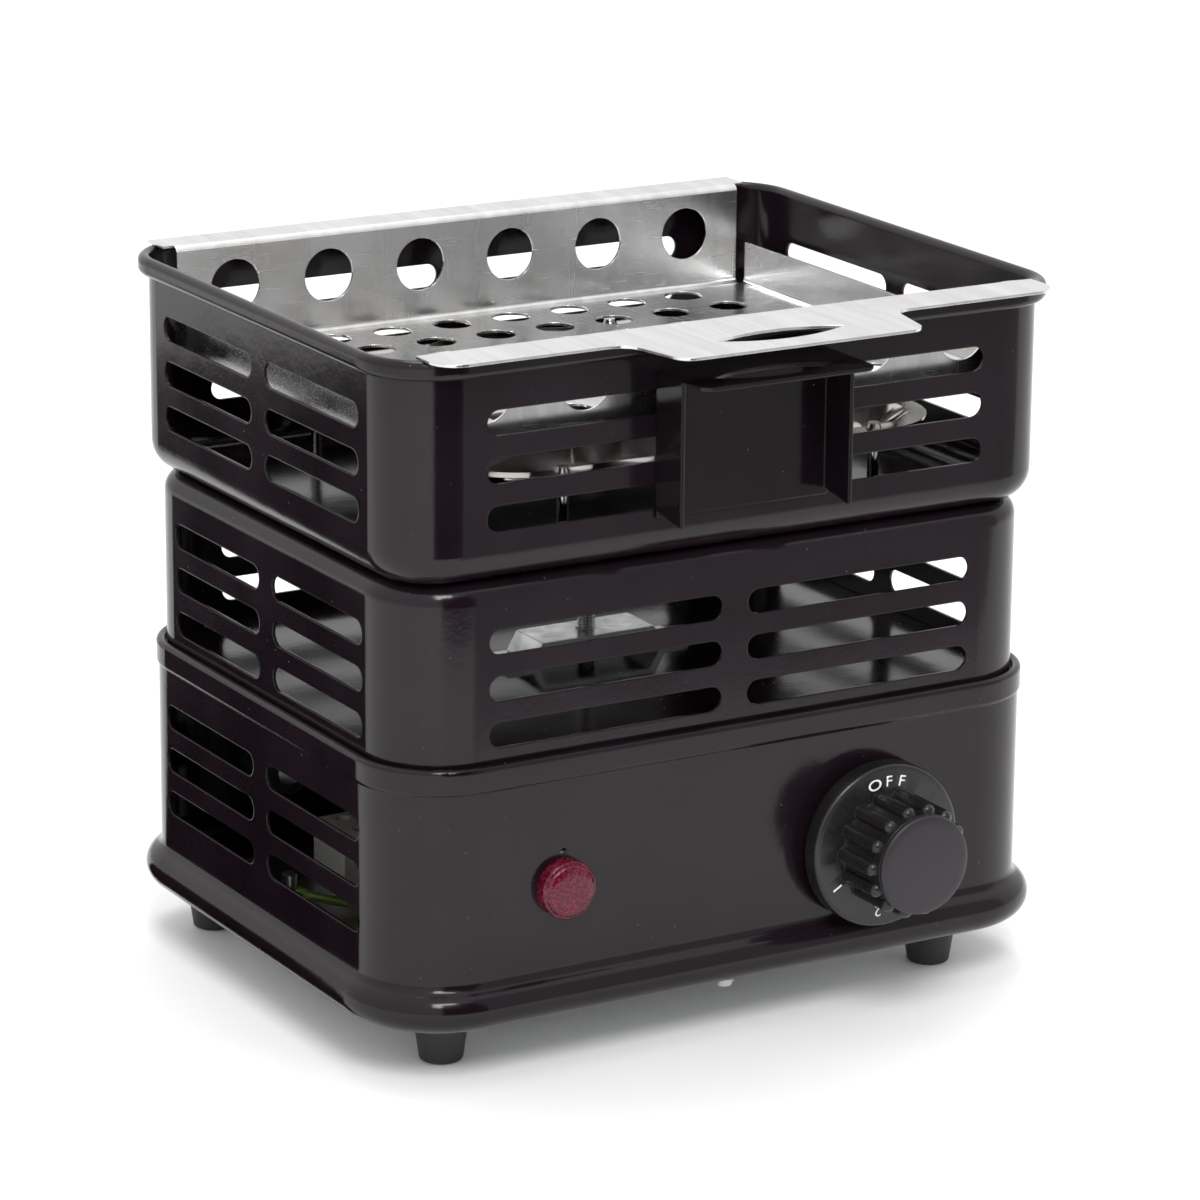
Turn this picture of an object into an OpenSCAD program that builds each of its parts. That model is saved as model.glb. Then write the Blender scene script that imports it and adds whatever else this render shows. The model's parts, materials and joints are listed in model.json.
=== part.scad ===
// Electric charcoal burner: three pressed-steel housings stacked on one tie bolt, with a heating element
// under a lift-out coal tray. X runs along the front, Y to the back and Z up. The origin is on the surface
// that the feet stand on, in the middle of the whole outline.

/* [Housings] */
// Width of the middle housing across its side walls
body_w = 186; // [150:1:230]
// Depth of the middle housing across its front and back walls
body_d = 147; // [140:1:190]
// Outer corner radius of the middle housing
body_r = 20; // [14:0.5:24]
// Thickness of the pressed steel sheet
sheet = 0.8; // [0.6:0.1:1]
// How far each base wall stands outside the middle housing
base_step = 2.2; // [2.1:0.1:5]
// How far each burner housing wall stands outside the middle housing
burner_step = 1.6; // [0:0.1:4]
// Outer corner radius of the burner housing
burner_r = 17; // [14:0.5:24]
// Height of the base housing from its lower lip to the top of its rim bead
base_h = 67.7; // [66:0.1:90]
// Height of the middle housing
middle_h = 46.5; // [44:0.5:70]
// Height of the burner housing from its floor to the top of its rim
burner_h = 57; // [54:0.5:75]

/* [Ventilation slots] */
// Height of every slot
slot_h = 6.4; // [4:0.1:8]
// Distance between two slot rows
slot_pitch = 11.8; // [10:0.1:13]
// Number of slot rows in each wall
slot_rows = 3; // [1:1:3]
// Width of the metal between the two slots of a row
slot_web = 7.4; // [4:0.1:20]
// Distance from a slot to the side of the housing, on the front and back
front_margin = 23.4; // [18:0.1:35]
// Distance from a slot to the front or back of the housing, on the sides
side_margin = 21.7; // [18:0.1:35]
// Height of the lowest row above the lip of the base housing
base_row = 25; // [24:0.5:30]
// Height of the lowest row above the lower edge of the middle housing
middle_row = 8; // [6:0.5:14]
// Height of the lowest row above the floor of the burner housing
burner_row = 16.4; // [13:0.1:20]

/* [Skirt, beads and bends] */
// How far the skirt of the base housing stands out from its wall
skirt_out = 4.2; // [2:0.1:6]
// Radius of the bulge round the foot of the skirt
skirt_r = 5.4; // [4.5:0.1:7]
// Radius of the hollow flare above the skirt
flare_r = 3; // [2:0.5:14]
// Width of the inward lip under the base housing
lip_w = 9; // [8:0.5:13]
// Height of the rim bead round the top of the base housing
bead_h = 7; // [5:0.5:10]
// How far the rim bead stands out from the wall
bead_out = 0.6; // [0.2:0.1:1.5]
// Depth of the deck below the top of the rim bead
deck_drop = 1.5; // [1:0.1:3]
// Bend radius round the top of the middle housing
middle_bend = 5; // [3:0.5:8]
// Bend radius round the floor of the burner housing
burner_bend = 8; // [4:0.5:10]
// Radius of the rolled rim of the burner housing
rim_r = 1.8; // [1.3:0.1:2.5]
// Extra height of the rolled rim between its two curls
rim_rise = 1.4; // [0:0.1:3]

/* [Feet and base plate] */
// Height of a foot
foot_h = 13.3; // [9:0.1:20]
// Diameter of a foot under the base plate
foot_top_d = 15; // [12:0.5:22]
// Diameter of a foot on the table
foot_low_d = 11; // [10:0.5:20]
// Distance of the front feet in from the side walls
foot_front_side = 22.2; // [15:0.1:40]
// Distance of the front feet in from the front wall
foot_front_in = 20.7; // [15:0.1:40]
// Distance of the rear feet in from the side walls
foot_rear_side = 15.7; // [15.5:0.1:40]
// Distance of the rear feet in from the back wall
foot_rear_in = 15.7; // [15.5:0.1:40]
// Thickness of the base plate
plate_t = 1; // [0.8:0.1:1.5]

/* [Knob and pilot lamp] */
// Distance of the knob axis in from the right wall
knob_in = 55.2; // [45:0.1:65]
// Height of the knob axis above the lip of the base housing
knob_up = 31.2; // [30:0.1:34]
// Diameter of the dial at its back edge
dial_d = 43; // [38:0.5:46]
// Thickness of the dial
dial_t = 5.5; // [4.5:0.1:10]
// Diameter of the grip inside its ribs
grip_d = 26; // [20:0.5:28]
// Length of the grip in front of the dial
grip_l = 18; // [14:0.5:24]
// Number of ribs round the grip
grip_ribs = 14; // [10:1:20]
// Diameter of a rib, which stands half out of the grip
rib_d = 4; // [2:0.1:4.5]
// Diameter of the regulator shaft
shaft_d = 6; // [4.6:0.1:6.5]
// Distance of the pilot lamp in from the left wall
lamp_in = 45.2; // [35:0.1:60]
// Height of the pilot lamp above the lip of the base housing
lamp_up = 33.2; // [25:0.1:40]
// Diameter of the lamp lens
lens_d = 15.1; // [12:0.1:20]
// How far the lens stands out
lens_out = 5; // [3:0.1:8]

/* [Coal tray and handle bracket] */
// Gap between the tray's side walls and the side walls of the burner housing
tray_side_gap = 6.8; // [5:0.1:14]
// Thickness of the tray sheet
tray_t = 0.7; // [0.5:0.1:1]
// Depth of the tray floor below the rim
tray_drop = 27; // [22:0.5:30]
// Gap between the tray's front wall and the front wall of the burner housing
tray_front_gap = 5; // [3:0.5:10]
// Gap between the tray's back wall and the back wall of the burner housing
tray_back_gap = 8.5; // [3:0.5:12]
// Height of the low side walls
tray_side_h = 12; // [6:0.5:20]
// Diameter of the holes in the tall walls
tray_wall_hole = 14.2; // [8:0.1:18]
// Distance between two holes in the tall walls
tray_wall_pitch = 27.3; // [22:0.1:30]
// Diameter of the holes in the floor
tray_floor_hole = 10.4; // [6:0.1:12]
// Distance between two floor holes along a row
tray_floor_pitch = 17.9; // [15:0.1:22]
// Distance between two rows of floor holes
tray_row_pitch = 15.8; // [13:0.1:20]
// Sideways shift of every second row
tray_row_shift = 4.5; // [0:0.1:7]
// How far the front flange reaches in front of the rim
flange_over = 6; // [2:0.5:12]
// Length of the handle tab in front of the flange
tab_l = 20; // [14:0.5:28]
// Half the width of the handle tab where it leaves the flange
tab_root = 37; // [28:0.5:44]
// Half the width of the handle tab at its front edge
tab_tip = 30; // [22:0.5:36]
// Length of the lens-shaped handle slots
lens_slot_l = 36; // [24:0.5:40]
// Width of the lens-shaped handle slots at their middle
lens_slot_w = 9.6; // [6:0.1:12]
// Outer width of the handle bracket
bracket_w = 49.2; // [40:0.2:60]
// Height of the handle bracket
bracket_h = 37; // [28:0.5:40]
// Depth of the bracket's side flanges
bracket_depth = 12; // [8:0.5:16]
// How far the lip of the bracket stands out from the housing
bracket_lip = 22.5; // [18:0.5:26]

/* [Heating element and reflector] */
// Diameter of the element sheath
coil_tube = 6.4; // [5:0.1:8]
// Distance from one turn to the next
coil_pitch = 10; // [9:0.5:11]
// Number of turns
coil_turns = 3; // [2:1:3]
// Gap between the outer turn and the inside of the pan's rim
coil_gap = 9.8; // [9:0.1:14]
// Gap between the pan's rim and the side walls of the burner housing
pan_side_gap = 24.8; // [12:0.1:30]
// Gap between the pan's rim and the front and back walls of the burner housing
pan_front_gap = 6.3; // [5:0.1:12]
// Width of the pan's flat rim
pan_lip = 5; // [4.5:0.5:8]
// Depth of the pan
pan_h = 9; // [9:0.5:10]
// Height of the pan above the floor of the burner housing
pan_up = 13.2; // [12.4:0.1:14]

/* [Tie bolt and clamp bar] */
// Diameter of the tie bolt
bolt_d = 5; // [4:0.5:6]
// Length of the clamp bar
bar_l = 54; // [40:1:70]
// Width of the clamp bar
bar_w = 14; // [12:0.5:20]
// Height of the clamp bar over the deck
bar_h = 6.5; // [4:0.5:9]

/* [Cord inlet] */
// Distance of the cord gland in from the left wall
gland_in = 40.2; // [36:0.1:60]
// Height of the cord gland above the lip of the base housing
gland_up = 24; // [18:0.5:34]
// Bore of the cord gland
gland_bore = 7.2; // [6:0.1:9]

/* [Hidden] */

$fn = 64;
eps = 0.01;

// Clearances
running = 0.05;       // round a turning shaft
loose = 0.25;         // round a screw in its hole
gap = 0.3;            // between neighbours that only pass each other

// Widths, depths and radii that follow the middle housing
base_w = body_w + 2 * base_step;
base_d = body_d + 2 * base_step;
base_r = body_r + base_step;
burner_w = body_w + 2 * burner_step;
burner_d = body_d + 2 * burner_step;

// Heights
base_z = foot_h + plate_t;
deck_z = base_z + base_h - deck_drop;
burner_z = deck_z + middle_h;
rim_z = burner_z + burner_h;
tray_z = rim_z - tray_drop;

// Skirt: the bulge and the flare touch each other and the wall
bulge_x = skirt_out - skirt_r;
flare_up = skirt_r + sqrt(pow(skirt_r + flare_r, 2) - pow(flare_r - bulge_x, 2));
bead_in = base_step - loose;

// How far the skirt stands out from the wall at a height above the lip
touch_up = skirt_r + (flare_up - skirt_r) * skirt_r / (skirt_r + flare_r);
function skirt_at(h) =
    h >= flare_up ? 0
    : h >= touch_up ? flare_r - sqrt(pow(flare_r, 2) - pow(flare_up - h, 2))
    : h >= skirt_r ? bulge_x + sqrt(pow(skirt_r, 2) - pow(h - skirt_r, 2))
    : skirt_out;

// Knob, regulator and lamp
knob_x = base_w / 2 - knob_in;
knob_z = base_z + knob_up;
lamp_x = lamp_in - base_w / 2;
lamp_z = base_z + lamp_up;
front_y = -base_d / 2;
dial_gap = max(0.8, skirt_at(knob_up - dial_d / 2) + 0.5);
dial_y = front_y - dial_gap - dial_t;
grip_y = dial_y - grip_l;
dial_edge = 1.5;
dial_wall = 2.4;
cap_t = 2;
cap_edge = 1.2;
rib_edge = 1.1;
shaft_reach = 11;
flat_l = 9;
flat_up = 0.28 * shaft_d;
bush_d = 10;
nut_af = 14;
nut_h = 2.6;
regulator_w = 36;
regulator_h = 40;
regulator_l = 27;
regulator_screw_pitch = 28;
regulator_back = front_y + sheet + regulator_l;
blade_l = 8;
blade_w = 6.3;
blade_t = 0.8;
blade_x = 10;
blade_z = 12;
lamp_d = 12;
lamp_l = 17;
lens_edge = 1.6;
lens_wall = 1.6;
gland_x = gland_in - base_w / 2;
gland_z = base_z + gland_up;
gland_d = 12.6;
gland_flange_d = 17;
gland_flange_t = 2.6;
gland_l = 16;

// Terminal block and earth stud on the base plate
block_x = gland_x + 16;
block_y = 40;
block_l = 32;
block_w = 18;
block_h = 15;
block_pitch = 9.5;
stud_x = gland_x - 17;
stud_y = 30;
stud_nut_h = 3;

// Wires
wire_d = 3;
thin_wire_d = 1.8;
bush_hole = 8;
bush_flange = 11;

// Reflector pan and heating element
pan_t = 0.6;
pan_slope = 11;
pan_corner = pan_slope + 5;
pan_w = burner_w - 2 * (sheet + pan_side_gap + pan_lip);
pan_d = burner_d - 2 * (sheet + pan_front_gap + pan_lip);
pan_seat = burner_z + sheet + pan_up;
coil_z = min(pan_seat + pan_h - 0.4, tray_z - 1 - coil_tube) + coil_tube / 2;
under_z = coil_z - coil_tube - 0.2;
pan_z = min(pan_seat, under_z - coil_tube / 2 - 1.4 - pan_t);
pan_rim_z = pan_z + pan_h;
pin_d = 3;
pin_tenon = 2;
pin_h = pan_rim_z - burner_z - sheet;
pin_x = pan_w / 2 - pan_corner - pin_d;
pin_y = pan_d / 2 + pan_lip / 2;
coil_outer = min(pan_w, pan_d) / 2 - coil_gap - coil_tube / 2;
coil_inner = coil_outer - coil_turns * coil_pitch;
leg_hole = coil_tube + 2.6;
leg_bend = 7;
leg_x = [-24, -8];
leg_y = sqrt(pow(coil_outer, 2) - pow(leg_x[0], 2));
leg_low = pan_z - 2.2;
crimp_z = burner_z + sheet + 2.4;
crimp_h = min(6.5, leg_low - 0.5 - crimp_z);
cold_pin_d = 2.3;

// Coal tray
tray_w = burner_w - 2 * (sheet + tray_side_gap);
tray_front = -burner_d / 2 + sheet + tray_front_gap;
tray_back = burner_d / 2 - sheet - tray_back_gap;
tray_bend = 2;
flange_w = tray_w + 2;
flange_front = -burner_d / 2 - (2 * rim_r - sheet) - flange_over;
flange_back = burner_d / 2 + rim_r / 2;
tab_front = flange_front - tab_l;
tray_margin = 9.7;
tray_wall_margin = 5;
shoulder_r = 6;
tip_r = 5;
bracket_t = 1;
bracket_drop = 9;
bracket_z = rim_z - bracket_drop - bracket_h;

// The whole outline is centred on the origin from front to back
seat_y = -(tab_front + base_d / 2 + skirt_out) / 2;

// ---------------------------------------------------------------- shared shapes

// Moves a piece from the middle of the housings to the middle of the outline
module seat() {
    translate([0, seat_y, 0]) children();
}

module rounded_rect(w, d, r) {
    square([w - 2 * r, d], center = true);
    square([w, d - 2 * r], center = true);
    for (x = [-1, 1], y = [-1, 1]) {
        translate([x * (w / 2 - r), y * (d / 2 - r)]) circle(r);
    }
}

// Carries a profile round a rounded rectangle. The profile's X points outwards from the wall line.
module around(w, d, r) {
    for (s = [-1, 1]) {
        translate([s * w / 2, 0, 0]) rotate([90, 0, 90 - s * 90])
            linear_extrude(d - 2 * r, center = true) children();
        translate([0, s * d / 2, 0]) rotate([90, 0, s * 90])
            linear_extrude(w - 2 * r, center = true) children();
    }
    for (k = [0 : 3]) {
        x = (k == 0 || k == 3) ? 1 : -1;
        y = (k < 2) ? 1 : -1;
        translate([x * (w / 2 - r), y * (d / 2 - r), 0]) rotate([0, 0, 90 * k])
            rotate_extrude(angle = 90) translate([r, 0]) children();
    }
}

// A quarter of a ring, from the +X side to the -Y side of its centre
module quarter_ring(outer, inner) {
    intersection() {
        difference() {
            circle(outer);
            circle(inner);
        }
        translate([0, -outer]) square(outer);
    }
}

// A slot with round ends that passes through along Y
module slot_cut(len, h, depth) {
    cube([len - h, depth, h], center = true);
    for (s = [-1, 1]) {
        translate([s * (len - h) / 2, 0, 0]) rotate([90, 0, 0]) cylinder(d = h, h = depth, center = true);
    }
}

// Rows of two slots through the walls at Y = +-d/2 of a housing
module slot_pair_rows(w, d, margin, z) {
    len = (w - 2 * margin - slot_web) / 2;
    for (row = [0 : slot_rows - 1], s = [-1, 1]) {
        translate([s * (slot_web + len) / 2, 0, z + row * slot_pitch]) slot_cut(len, slot_h, d + 4);
    }
}

module side_slots(w, d, z) {
    rotate([0, 0, 90]) slot_pair_rows(d, w, side_margin, z);
}

module front_slots(w, d, z) {
    slot_pair_rows(w, d, front_margin, z);
}

// A cylinder along -Y that starts at the given point
module along_front(x, y, z, d, len) {
    translate([x, y, z]) rotate([90, 0, 0]) cylinder(d = d, h = len);
}

// A pan-head screw with a cross recess. The shank points down and the head sits on Z = 0.
module pan_screw(d, len, head_d, head_h) {
    difference() {
        union() {
            translate([0, 0, -len]) cylinder(d = d, h = len + eps, $fn = 32);
            cylinder(d1 = head_d, d2 = head_d * 0.7, h = head_h, $fn = 32);
        }
        for (a = [0, 90]) {
            rotate([0, 0, a]) translate([0, 0, head_h]) cube([head_d * 0.5, d * 0.25, head_h], center = true);
        }
    }
}

module hex_nut(af, h, bore) {
    difference() {
        cylinder(d = af / cos(30), h = h, $fn = 6);
        translate([0, 0, -1]) cylinder(d = bore, h = h + 2, $fn = 32);
    }
}

module washer(d, bore, t) {
    difference() {
        cylinder(d = d, h = t, $fn = 48);
        translate([0, 0, -1]) cylinder(d = bore, h = t + 2, $fn = 32);
    }
}

// A flanged sleeve. The flange lies on Z = 0 and the sleeve hangs below it.
module flanged_sleeve(sleeve_d, sleeve_h, flange_d, flange_h, bore) {
    difference() {
        union() {
            translate([0, 0, -sleeve_h]) cylinder(d = sleeve_d, h = sleeve_h + eps, $fn = 48);
            cylinder(d = flange_d, h = flange_h, $fn = 48);
        }
        translate([0, 0, -sleeve_h - 1]) cylinder(d = bore, h = sleeve_h + flange_h + 2, $fn = 48);
    }
}

// Where two equal circles cross, leaving a lens of the given length and width
module lens(len, w) {
    r = (pow(len / 2, 2) + pow(w / 2, 2)) / w;
    intersection_for(s = [-1, 1]) translate([0, s * (r - w / 2)]) circle(r, $fn = 128);
}

// A smooth curve through hand-picked points
function curve_point(a, b, c, d, t) =
    0.5 * (2 * b + (c - a) * t + (2 * a - 5 * b + 4 * c - d) * t * t + (3 * b - a - 3 * c + d) * t * t * t);
function curve(p, steps) = [
    for (i = [0 : len(p) - 2], k = [0 : steps - 1])
        curve_point(p[max(i - 1, 0)], p[i], p[i + 1], p[min(i + 2, len(p) - 1)], k / steps),
    p[len(p) - 1]
];
function unit(v) = v / norm(v);
function heading(p, i) = unit(p[min(i + 1, len(p) - 1)] - p[max(i - 1, 0)]);
function ring(p, i, r, sides) =
    let (t = heading(p, i), u = unit(cross([0.62, -0.35, 0.7], t)), v = cross(t, u))
    [for (k = [0 : sides - 1]) p[i] + r * (cos(360 * k / sides) * u + sin(360 * k / sides) * v)];

// A round tube along a list of points
module tube(p, d, sides = 8) {
    n = len(p);
    points = [for (i = [0 : n - 1]) each ring(p, i, d / 2, sides)];
    walls = [
        for (i = [0 : n - 2], k = [0 : sides - 1])
            let (a = i * sides + k, b = i * sides + (k + 1) % sides)
            each [[a, a + sides, b + sides], [a, b + sides, b]]
    ];
    ends = [[for (k = [0 : sides - 1]) k], [for (k = [1 : sides]) n * sides - k]];
    polyhedron(points, concat(walls, ends));
}

// ---------------------------------------------------------------- base housing

// The filled section of the base wall and skirt, drawn in from its outside by the given inset
module skirt_section(inset, top) {
    translate([-20, skirt_r]) square([20 - inset, top - skirt_r]);
    translate([-20, inset]) square([20 + bulge_x, skirt_r]);
    translate([bulge_x, skirt_r]) circle(skirt_r - inset);
    difference() {
        polygon([[-20, skirt_r], [bulge_x, skirt_r], [flare_r, flare_up], [-20, flare_up]]);
        translate([flare_r, flare_up]) circle(flare_r + inset);
    }
}

module base_wall_profile() {
    intersection() {
        difference() {
            skirt_section(0, base_h - bead_in);
            skirt_section(sheet, base_h);
        }
        translate([-lip_w, -1]) square([lip_w + skirt_out + 1, base_h]);
    }
    bead_r = (bead_in + bead_out) / 2;
    translate([-bead_in, base_h - bead_h + bead_r]) square([2 * bead_r, bead_h - 2 * bead_r]);
    for (z = [base_h - bead_r, base_h - bead_h + bead_r]) {
        translate([bead_r - bead_in, z]) circle(bead_r);
    }
}

// Places of the screws that hold the base plate to the lip
plate_screw_at = concat(
    [for (x = [-1, 1], y = [-1, 1]) [x * (base_w / 2 - lip_w * 0.55), y * base_d / 5]],
    [for (y = [-1, 1]) [0, y * (base_d / 2 - lip_w * 0.55)]]
);
feet_at = concat(
    [for (s = [-1, 1]) [s * (base_w / 2 - foot_front_side), foot_front_in - base_d / 2]],
    [for (s = [-1, 1]) [s * (base_w / 2 - foot_rear_side), base_d / 2 - foot_rear_in]]
);

module base_housing() {
    color([0.07, 0.065, 0.07]) seat() difference() {
        union() {
            translate([0, 0, base_z]) around(base_w, base_d, base_r) base_wall_profile();
            translate([0, 0, deck_z - sheet]) linear_extrude(sheet)
                rounded_rect(base_w - 2 * sheet, base_d - 2 * sheet, base_r - sheet);
        }
        side_slots(base_w, base_d, base_z + base_row);
        along_front(knob_x, front_y + 2, knob_z, bush_d + 2 * loose, 4);
        for (s = [-1, 1]) {
            along_front(knob_x, front_y + 2, knob_z + s * regulator_screw_pitch / 2, 4 + 2 * loose, 4);
        }
        along_front(lamp_x, front_y + 2, lamp_z, lamp_d + loose, 4);
        along_front(lamp_x, front_y + 2, lamp_z + lens_d / 2 + 1.6, 1.6, 4);
        along_front(gland_x, base_d / 2 + 2, gland_z, gland_d + loose, 4);
        translate([0, 0, deck_z]) cylinder(d = bolt_d + 2 * loose, h = 6, center = true);
        for (x = leg_x) {
            translate([x, leg_y, deck_z]) cylinder(d = bush_hole, h = 6, center = true);
        }
        for (p = plate_screw_at) {
            translate([p[0], p[1], base_z]) cylinder(d = 2.9, h = 6, center = true, $fn = 32);
        }
    }
}

module base_plate() {
    inset = lip_w * 0.1 + 0.6 - bulge_x;
    color([0.62, 0.63, 0.64]) seat() difference() {
        translate([0, 0, foot_h]) linear_extrude(plate_t)
            rounded_rect(base_w - 2 * inset, base_d - 2 * inset, base_r - inset);
        for (p = plate_screw_at) {
            translate([p[0], p[1], foot_h]) cylinder(d = 2.9 + 2 * loose, h = 6, center = true, $fn = 32);
        }
        for (p = feet_at) {
            translate([p[0], p[1], foot_h]) cylinder(d = 3.5 + 2 * loose, h = 6, center = true, $fn = 32);
        }
        for (s = [-1, 1]) {
            translate([block_x + s * block_l * 0.36, block_y, foot_h])
                cylinder(d = 2.5, h = 6, center = true, $fn = 32);
        }
        translate([stud_x, stud_y, foot_h]) cylinder(d = 4, h = 6, center = true, $fn = 32);
        for (k = [-2 : 2]) {
            translate([k * 13, -8, foot_h]) rotate([90, 0, 90]) slot_cut(44, 5, 8);
        }
    }
}

module plate_screws() {
    color([0.75, 0.75, 0.77]) seat() for (p = plate_screw_at) {
        translate([p[0], p[1], foot_h]) rotate([180, 0, 0]) pan_screw(2.9, 5, 5.6, 2);
    }
}

// ---------------------------------------------------------------- feet

foot_recess = 6;

module foot(i) {
    color([0.05, 0.05, 0.05]) seat() translate([feet_at[i][0], feet_at[i][1], 0]) difference() {
        cylinder(d1 = foot_low_d, d2 = foot_top_d, h = foot_h, $fn = 48);
        translate([0, 0, -1]) cylinder(d = 7.4, h = foot_recess + 1, $fn = 48);
        translate([0, 0, -1]) cylinder(d = 3.5 + loose, h = foot_h + 2, $fn = 32);
    }
}

module foot_front_left() {
    foot(0);
}

module foot_front_right() {
    foot(1);
}

module foot_rear_left() {
    foot(2);
}

module foot_rear_right() {
    foot(3);
}

module foot_screws() {
    color([0.75, 0.75, 0.77]) seat() for (p = feet_at) {
        translate([p[0], p[1], foot_recess]) rotate([180, 0, 0])
            pan_screw(3.5, foot_h - foot_recess + plate_t + 4, 6.6, 2.4);
    }
}

module foot_nuts() {
    color([0.75, 0.75, 0.77]) seat() for (p = feet_at) {
        translate([p[0], p[1], base_z]) hex_nut(6, 2.8, 3.5);
    }
}

// ---------------------------------------------------------------- regulator and knob

module regulator_body() {
    color([0.16, 0.16, 0.17]) seat() translate([knob_x, front_y + sheet, knob_z]) difference() {
        union() {
            translate([-regulator_w / 2, 0, -regulator_h / 2]) cube([regulator_w, regulator_l, regulator_h]);
            rotate([90, 0, 0]) cylinder(d = bush_d, h = sheet + nut_h + 1);
        }
        translate([0, regulator_l / 2, 0]) rotate([90, 0, 0])
            cylinder(d = shaft_d + 2 * running, h = regulator_l / 2 + 8);
        for (s = [-1, 1]) {
            translate([0, 8, s * regulator_screw_pitch / 2]) rotate([90, 0, 0]) cylinder(d = 4, h = 9, $fn = 32);
        }
        for (x = [-1, 1], z = [-1, 1]) {
            translate([x * blade_x, regulator_l, z * blade_z]) cube([blade_w, 6, blade_t], center = true);
        }
    }
}

module regulator_terminals() {
    color([0.78, 0.62, 0.25]) seat() for (x = [-1, 1], z = [-1, 1]) {
        translate([knob_x + x * blade_x, regulator_back, knob_z + z * blade_z]) difference() {
            translate([-blade_w / 2, -3, -blade_t / 2]) cube([blade_w, 3 + blade_l, blade_t]);
            translate([0, blade_l - 2.8, -1]) cylinder(d = 1.6, h = 3, $fn = 24);
        }
    }
}

module regulator_nut() {
    color([0.75, 0.75, 0.77]) seat() translate([knob_x, front_y, knob_z]) rotate([90, 0, 0])
        hex_nut(nut_af, nut_h, bush_d);
}

module regulator_screws() {
    color([0.75, 0.75, 0.77]) seat() for (s = [-1, 1]) {
        translate([knob_x, front_y, knob_z + s * regulator_screw_pitch / 2]) rotate([90, 0, 0])
            pan_screw(4, 7, 7, 2.4);
    }
}

// The shaft turns in the regulator and has a flat on top for the knob
module regulator_shaft() {
    shaft_l = regulator_l / 2 + sheet + dial_gap + dial_t + shaft_reach;
    color([0.7, 0.7, 0.72]) seat() translate([knob_x, front_y + sheet + regulator_l / 2, knob_z])
        rotate([90, 0, 0]) difference() {
            cylinder(d = shaft_d, h = shaft_l);
            translate([-shaft_d, flat_up, shaft_l - flat_l]) cube([2 * shaft_d, shaft_d, flat_l + 1]);
        }
}

// A hollow dial with a ribbed grip. A boss inside it holds the shaft.
module control_knob() {
    grip_end = dial_t + grip_l - cap_t;
    shaft_end = dial_t + shaft_reach;
    color([0.05, 0.05, 0.05]) seat() translate([knob_x, front_y - dial_gap, knob_z]) rotate([90, 0, 0])
        difference() {
            union() {
                cylinder(d = dial_d, h = dial_t - dial_edge, $fn = 96);
                translate([0, 0, dial_t - dial_edge])
                    cylinder(d1 = dial_d, d2 = dial_d - 2 * dial_edge, h = dial_edge, $fn = 96);
                cylinder(d = grip_d, h = grip_end, $fn = 96);
                for (k = [0 : grip_ribs - 1]) {
                    rotate([0, 0, 360 * k / grip_ribs]) translate([grip_d / 2, 0, 0]) {
                        cylinder(d = rib_d, h = grip_end - 2 * rib_edge, $fn = 24);
                        translate([0, 0, grip_end - 2 * rib_edge])
                            cylinder(d1 = rib_d, d2 = rib_d - 2 * rib_edge, h = rib_edge, $fn = 24);
                    }
                }
            }
            difference() {
                translate([0, 0, -1]) cylinder(d = dial_d - 2 * dial_wall, h = dial_t - dial_wall + 1, $fn = 96);
                cylinder(d = shaft_d + 5, h = dial_t);
            }
            translate([0, 0, -1]) cylinder(d = bush_d + 1, h = 1 + max(0.5, nut_h + 1.5 - dial_gap));
            difference() {
                translate([0, 0, -1]) cylinder(d = shaft_d, h = shaft_end + 1);
                translate([-shaft_d, flat_up, shaft_end - flat_l]) cube([2 * shaft_d, shaft_d, flat_l + 1]);
            }
        }
}

module knob_cap() {
    color([0.2, 0.2, 0.21]) seat() translate([knob_x, grip_y + cap_t, knob_z]) rotate([90, 0, 0]) union() {
        cylinder(d = grip_d, h = cap_t - cap_edge, $fn = 96);
        translate([0, 0, cap_t - cap_edge])
            cylinder(d1 = grip_d, d2 = grip_d - 2 * cap_edge, h = cap_edge, $fn = 96);
    }
}

// ---------------------------------------------------------------- pilot lamp

module lamp_lens() {
    color([0.75, 0.04, 0.03]) seat() translate([lamp_x, front_y, lamp_z]) rotate([90, 0, 0]) difference() {
        union() {
            cylinder(d = lens_d, h = lens_out - lens_edge);
            translate([0, 0, lens_out - lens_edge])
                cylinder(d1 = lens_d, d2 = lens_d - 2 * lens_edge, h = lens_edge);
        }
        translate([0, 0, -1]) cylinder(d = lens_d - 2 * lens_wall, h = lens_out - lens_wall + 1);
    }
}

module lamp_body() {
    color([0.85, 0.85, 0.82]) seat() translate([lamp_x, front_y, lamp_z]) rotate([90, 0, 0]) union() {
        cylinder(d = lens_d - 2 * lens_wall, h = lens_out - lens_wall - gap);
        translate([0, 0, -lamp_l]) cylinder(d = lamp_d, h = lamp_l + eps);
    }
}

module lamp_clip() {
    color([0.75, 0.75, 0.77]) seat() translate([lamp_x, front_y + sheet + 1, lamp_z]) rotate([90, 0, 0])
        washer(18, lamp_d, 1);
}

// ---------------------------------------------------------------- cord inlet and mains parts

module cord_gland() {
    color([0.06, 0.06, 0.06]) seat() translate([gland_x, base_d / 2, gland_z]) rotate([90, 0, 0]) difference() {
        union() {
            translate([0, 0, -eps]) cylinder(d = gland_d, h = gland_l - gland_flange_t + eps);
            translate([0, 0, -gland_flange_t]) cylinder(d = gland_flange_d, h = gland_flange_t);
        }
        translate([0, 0, -gland_flange_t - 1]) cylinder(d = gland_bore, h = gland_l + 2);
    }
}

module gland_nut() {
    color([0.06, 0.06, 0.06]) seat() translate([gland_x, base_d / 2 - sheet, gland_z]) rotate([90, 0, 0])
        hex_nut(gland_flange_d - 1.5, 5, gland_d);
}

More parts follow.
